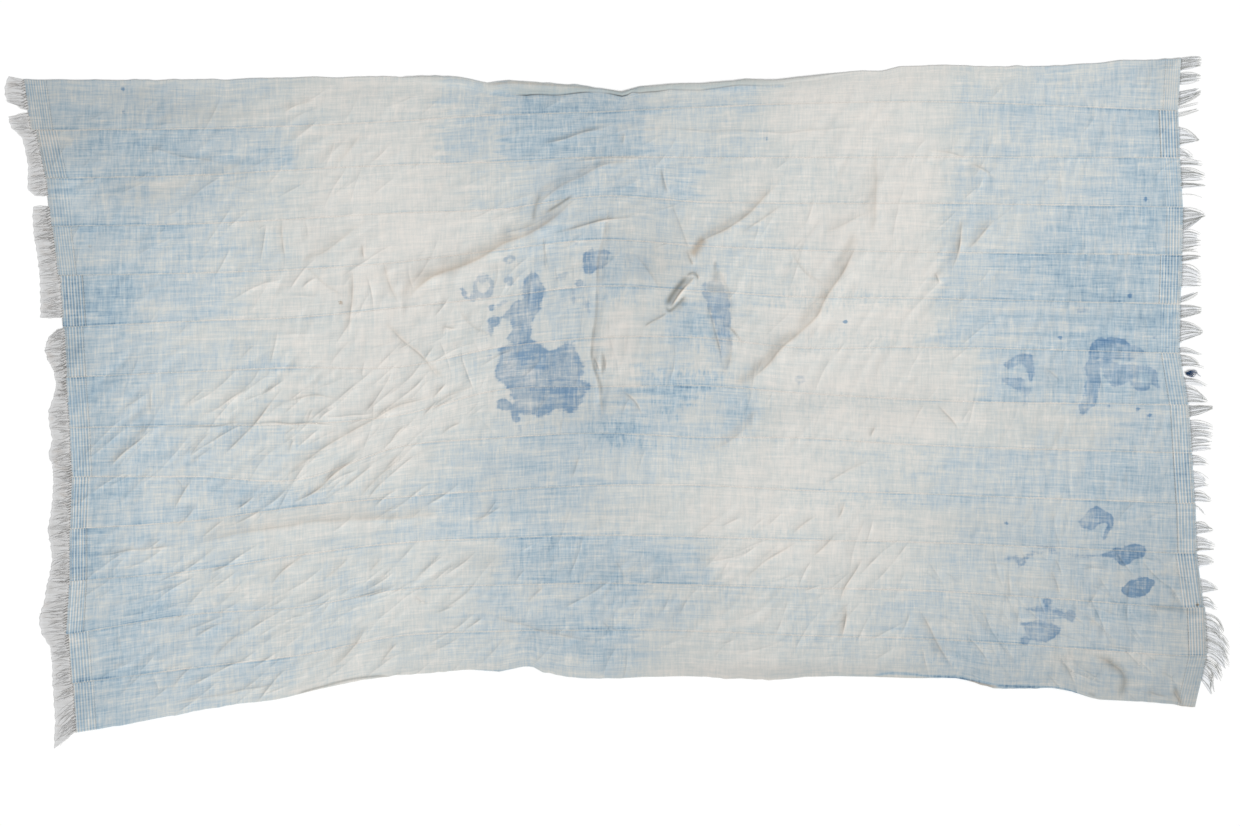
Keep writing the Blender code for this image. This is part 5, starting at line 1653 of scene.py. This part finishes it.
def clothMaterial():
    # dye strength plus streaks picks the tone; white weft lines near both ends; a pale line along the seams
    # with a broken blue one beside it and a faint painted shade; a ridge's crest is paler on its lit side,
    # worn dye with a painted highlight; stains darken the tone, and greyer cloth and painted shade darken it
    # too; the folds get a painted highlight on their lit side and painted shade on their shade side; painted
    # shade and soil, painted shade in creases, the hem's grey-green with painted shade and the painted shade
    # in its groove tint it; relief from slubs, the weave and the weft lines
    material, tree, shader = startMaterial("fadedIndigoCotton", 0.93)
    lines = addNode(tree, "ShaderNodeUVMap", uv_map="threadLines").outputs[0]
    threads = useGroup(tree, streaks, {"Lines": lines})
    level = field(tree, "dye")
    contrast = calc(tree, "MULTIPLY_ADD", level, looks["streakByDye"], looks["streakAlways"])
    change = calc(tree, "MULTIPLY", threads["Streak"], contrast)
    level = calc(tree, "ADD", level, change)

    power = field(tree, "bandPower")
    wave = calc(tree, "COSINE", calc(tree, "MULTIPLY", field(tree, "bandTurns"), 2 * math.pi))
    white = calc(tree, "MULTIPLY_ADD", wave, 0.5, 0.5, clamp=True)
    white = calc(tree, "MULTIPLY", calc(tree, "POWER", white, 1.6), power)
    between = calc(tree, "POWER", calc(tree, "MULTIPLY_ADD", wave, -0.5, 0.5, clamp=True), 2.0)
    between = calc(tree, "MULTIPLY", between, power)
    level = calc(tree, "MULTIPLY_ADD", between, looks["bandBlue"], level)
    level = calc(tree, "MULTIPLY_ADD", white, -looks["bandPale"], level)

    distance = field(tree, "seamDistance")
    broken = calc(tree, "MULTIPLY_ADD", threads["Long"], 0.8, 0.5, clamp=True)
    blue = calc(tree, "MULTIPLY", bell(tree, distance, 2.3, 1.1), broken)
    whole = calc(tree, "MULTIPLY_ADD", broken, -0.5, 1.0)
    pale = calc(tree, "MULTIPLY", bell(tree, distance, 0.0, 1.0), whole)
    bluer = calc(tree, "MULTIPLY_ADD", level, looks["seamBlueByDye"], looks["seamBlue"])
    level = calc(tree, "MULTIPLY_ADD", blue, bluer, level)
    level = calc(tree, "MULTIPLY_ADD", pale, -looks["seamPale"], level)

    side, strength = field(tree, "foldSide"), field(tree, "foldPower")
    # painted marks of the folds: just on the lit side of a ridge's crest the dye is paler, worn dye with a
    # painted highlight; a painted highlight lies on a fold's lit side and painted shade on its shade side
    ridge = calc(tree, "MAXIMUM", strength, 0.0)
    crest = calc(tree, "MULTIPLY", ridge, bell(tree, side, 0.9, 1.3))
    lit = calc(tree, "MULTIPLY", ridge, bell(tree, side, 2.2, 2.2))
    shadeSide = calc(tree, "MULTIPLY", calc(tree, "ABSOLUTE", strength), bell(tree, side, -1.2, 1.5))
    level = calc(tree, "MULTIPLY_ADD", crest, -looks["crestWearAndHighlight"], level)

    share = calc(tree, "DIVIDE", level, looks["dyeTop"], clamp=True)
    colour = ramp(tree, share, [(place / looks["dyeTop"], seen) for place, seen in looks["dyeTones"]])
    edge, stainTone = field(tree, "stainEdge"), field(tree, "stainTone")
    kept = calc(tree, "MULTIPLY_ADD", pale, -looks["seamOverStain"], 1.0)
    for shade, sign in ((looks["stainShade"], 1.0), (looks["brownShade"], -1.0)):
        stain = useGroup(tree, driedStain, {
            "Edge": edge, "Tone": calc(tree, "MULTIPLY", stainTone, sign),
            "Streak": threads["Streak"], "Cloud": threads["Cloud"],
        })["Stain"]
        stain = calc(tree, "MULTIPLY", stain, kept)
        colour = blend(tree, stain, colour, (*shade, 1.0), "MULTIPLY")
    light = calc(tree, "MULTIPLY_ADD", change, looks["streakShade"], 1.0)
    # painted highlight on the lit side of folds, painted shade on their shade side
    light = calc(tree, "MULTIPLY_ADD", lit, looks["foldLit"], light)
    light = calc(tree, "MULTIPLY_ADD", shadeSide, -looks["foldShade"], light)
    light = calc(tree, "MULTIPLY_ADD", bell(tree, distance, 1.9, 0.8), -looks["seamShade"], light)
    colour = blend(tree, 1.0, colour, light, "MULTIPLY")
    # greyer cloth and painted shade darken the tone
    colour = blend(tree, calc(tree, "MULTIPLY", field(tree, "greyAndShade"), 2.2), colour, (0.0, 0.0, 0.0, 1.0))
    # brown painted shade and soil on the folds
    shadeAndSoil = calc(tree, "MULTIPLY", field(tree, "shadeAndSoil"), looks["shadeAndSoilAmount"])
    colour = blend(tree, shadeAndSoil, colour, tone(looks["shadeAndSoilTone"]))
    # painted shade in creases and along folds
    colour = blend(tree, field(tree, "creaseShade"), colour, tone(looks["creaseShadeTone"]))
    # the hem's tint: its grey-green underside, with painted shade that deepens towards the groove
    hemSide, hemPower = field(tree, "hemSide"), field(tree, "hemPower")
    onHem = remap(tree, hemSide, 0.8, -0.8)
    nearLine = calc(tree, "MULTIPLY_ADD", bell(tree, hemSide, 0.0, 11.0), 0.9, 0.1)
    onHem = calc(tree, "MULTIPLY", calc(tree, "MULTIPLY", onHem, hemPower), looks["hemAmount"])
    onHem = calc(tree, "MULTIPLY", onHem, nearLine)
    colour = blend(tree, onHem, colour, tone(looks["hemAndShadeTone"]))
    # painted shade in the groove under the roll and in a broken second line on it
    patchy = calc(tree, "MULTIPLY_ADD", threads["Long"], 0.6, 0.0, clamp=True)
    second = calc(tree, "MULTIPLY", bell(tree, hemSide, -4.5, 0.8), patchy)
    groove = calc(tree, "MULTIPLY", bell(tree, hemSide, 1.0, 1.2), field(tree, "groove"))
    dark = calc(tree, "MULTIPLY_ADD", second, 0.45, groove)
    dark = calc(tree, "MULTIPLY", calc(tree, "MULTIPLY", dark, hemPower), looks["grooveShadeAmount"], clamp=True)
    colour = blend(tree, dark, colour, tone(looks["grooveShadeTone"]))
    tree.links.new(colour, shader.inputs["Base Color"])

    slubs = calc(tree, "ADD", threads["Warp"], threads["Weft"])
    lumps = bump(tree, slubs, looks["slubDepth"] / 8)
    raised = bump(tree, white, looks["bandDepth"], lumps)
    steep = calc(tree, "MULTIPLY", calc(tree, "ABSOLUTE", side), -0.45)
    pinch = calc(tree, "MULTIPLY", strength, calc(tree, "EXPONENT", steep))
    pinched = bump(tree, pinch, looks["foldDepth"], raised)
    counts = {"Warp Count": looks["warpCount"], "Weft Count": looks["weftCount"]}
    height = useGroup(tree, weave, {"Lines": lines, **counts})["Height"]
    woven = bump(tree, height, looks["weaveDepth"], pinched)
    tree.links.new(woven, shader.inputs["Normal"])
    return material


def threadMaterial(name, pale, dark, root=None, tip=None, knot=None):
    # loose threads: each has its own tone, mottled along its length, on the left browner towards the root,
    # on the right darker towards the tip; a mat's outer edge is paler, pale fuzz with painted light
    material, tree, shader = startMaterial(name, 0.95)
    lines = addNode(tree, "ShaderNodeUVMap", uv_map="threadLines").outputs[0]
    threads = useGroup(tree, streaks, {"Lines": lines, "Fineness": 1.0})
    level = calc(tree, "MULTIPLY_ADD", threads["Cloud"], 0.12, field(tree, "threadTone"))
    level = calc(tree, "MULTIPLY_ADD", threads["Warp"], 0.12, level, clamp=True)
    middle = [(a + 2 * b) / 3 for a, b in zip(dark, pale)]
    colour = ramp(tree, level, [(0.0, dark), (0.45, middle), (1.0, pale)])
    reach = field(tree, "reach")
    if root:
        near = remap(tree, reach, 0.14, 0.0, 0.4)
        patches = calc(tree, "MULTIPLY_ADD", threads["Cloud"], 0.3, -0.1, clamp=True)
        colour = blend(tree, calc(tree, "MAXIMUM", near, patches), colour, tone(root))
        # the mat's outer edge is paler: pale fuzz with painted light over the shade of its sloping edge
        colour = blend(tree, remap(tree, reach, 0.84, 1.0, 0.3), colour, tone(looks["fuzzAndEdgeLight"]))
    if tip:
        colour = blend(tree, remap(tree, reach, 0.66, 0.95, 0.55), colour, tone(tip))
    # threads with a tone below -0.5 take this colour: the indigo knot on the right, the painted shade of the
    # gaps between the threads on the left
    if knot:
        knotted = calc(tree, "LESS_THAN", field(tree, "threadTone"), -0.5)
        colour = blend(tree, knotted, colour, tone(knot))
    tree.links.new(colour, shader.inputs["Base Color"])
    counts = {"Warp Count": looks["threadWarpCount"], "Weft Count": looks["threadWeftCount"]}
    height = useGroup(tree, weave, {"Lines": lines, **counts})["Height"]
    tree.links.new(bump(tree, height, looks["threadDepth"]), shader.inputs["Normal"])
    return material


clothCotton = clothMaterial()
# on the left, the colour for a tone below -0.5 is the painted shade in the gaps between the threads
leftThreadCotton = threadMaterial(
    "mattedWarpEnds", looks["fringePale"], looks["fringeDark"], root=looks["fringeRoot"],
    knot=looks["fringeGapShade"],
)
rightThreadCotton = threadMaterial(
    "looseWarpEnds", looks["rightPale"], looks["rightDark"], tip=looks["rightTip"], knot=looks["indigo"],
)
stitchCotton = threadMaterial("sewingThread", looks["stitchPale"], looks["stitchDark"])
print("materials made")


# making the pieces and putting them in the frame

def install(piece, material, slot, *nodes):
    # gives a piece its material, and the nodes of the frame that it takes the place of; the slot is not used
    piece.data.materials.append(material)
    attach(piece, "root")
    if nodes:
        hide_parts(*nodes)
    return piece


chance = np.random.default_rng(fringe["seed"])
for number in range(stripCount):
    strip = install(wovenStrip(number), clothCotton, "cloth", f"strip_{number + 1:02d}")
    leftEnd = install(
        leftFringe(number, chance), leftThreadCotton, "fringe", f"fringe_left_{number + 1:02d}",
    )
    rightEnd = install(
        rightFringe(number, chance), rightThreadCotton, "fringe", f"fringe_right_{number + 1:02d}",
    )
    print("strip", number + 1, "made")
install(seamStitches(), stitchCotton, "cloth")
print("sewing made")


# table, light and camera

studio = {
    "tableHalf": 6.0,
    "tableDrop": 0.0003,  # how far the table lies below the cloth's lowest point
    "tableTone": (0.93, 0.93, 0.93),
    "fill": 0.62,
    "keyStrength": 2.45,
    "keyHeight": 38,  # degrees above the table
    "keyFrom": -34,  # degrees round from +X
    "keySoftness": 24,
    "cameraHeight": 6.0,
    "frameWidth": 2.06667,
    "aim": (0.0058, -0.0175),
    "sensorWidth": 36.0,
    "farthest": 50.0,
}


def makeStudio():
    # a plain pale table, an even sky and one soft sun from the lower right; a camera straight above
    half = studio["tableHalf"]
    corners = [(-half, -half, 0), (half, -half, 0), (half, half, 0), (-half, half, 0)]
    mesh = bpy.data.meshes.new("floor")
    mesh.from_pydata(corners, [], [(0, 1, 2, 3)])
    floor = bpy.data.objects.new("floor", mesh)
    floor.location.z = -studio["tableDrop"]
    bpy.context.collection.objects.link(floor)
    material, _, shader = startMaterial("paleTable", 0.9)
    shader.inputs["Base Color"].default_value = (*studio["tableTone"], 1.0)
    mesh.materials.append(material)

    world = bpy.data.worlds.new("studioSky")
    world.use_nodes = True
    world.node_tree.nodes["Background"].inputs[0].default_value = (1.0, 1.0, 1.0, 1.0)
    world.node_tree.nodes["Background"].inputs[1].default_value = studio["fill"]
    bpy.context.scene.world = world

    sun = bpy.data.lights.new("key", "SUN")
    sun.energy = studio["keyStrength"]
    sun.angle = math.radians(studio["keySoftness"])
    lamp = bpy.data.objects.new("key", sun)
    lamp.rotation_euler = (0.0, math.radians(90 - studio["keyHeight"]), math.radians(studio["keyFrom"]))
    bpy.context.collection.objects.link(lamp)

    lens = bpy.data.cameras.new("camera")
    lens.sensor_width = studio["sensorWidth"]
    lens.lens = studio["sensorWidth"] * studio["cameraHeight"] / studio["frameWidth"]
    lens.clip_end = studio["farthest"]
    camera = bpy.data.objects.new("camera", lens)
    camera.location = (*studio["aim"], studio["cameraHeight"])
    bpy.context.collection.objects.link(camera)
    bpy.context.scene.camera = camera
    bpy.context.scene.view_settings.view_transform = "Standard"


makeStudio()
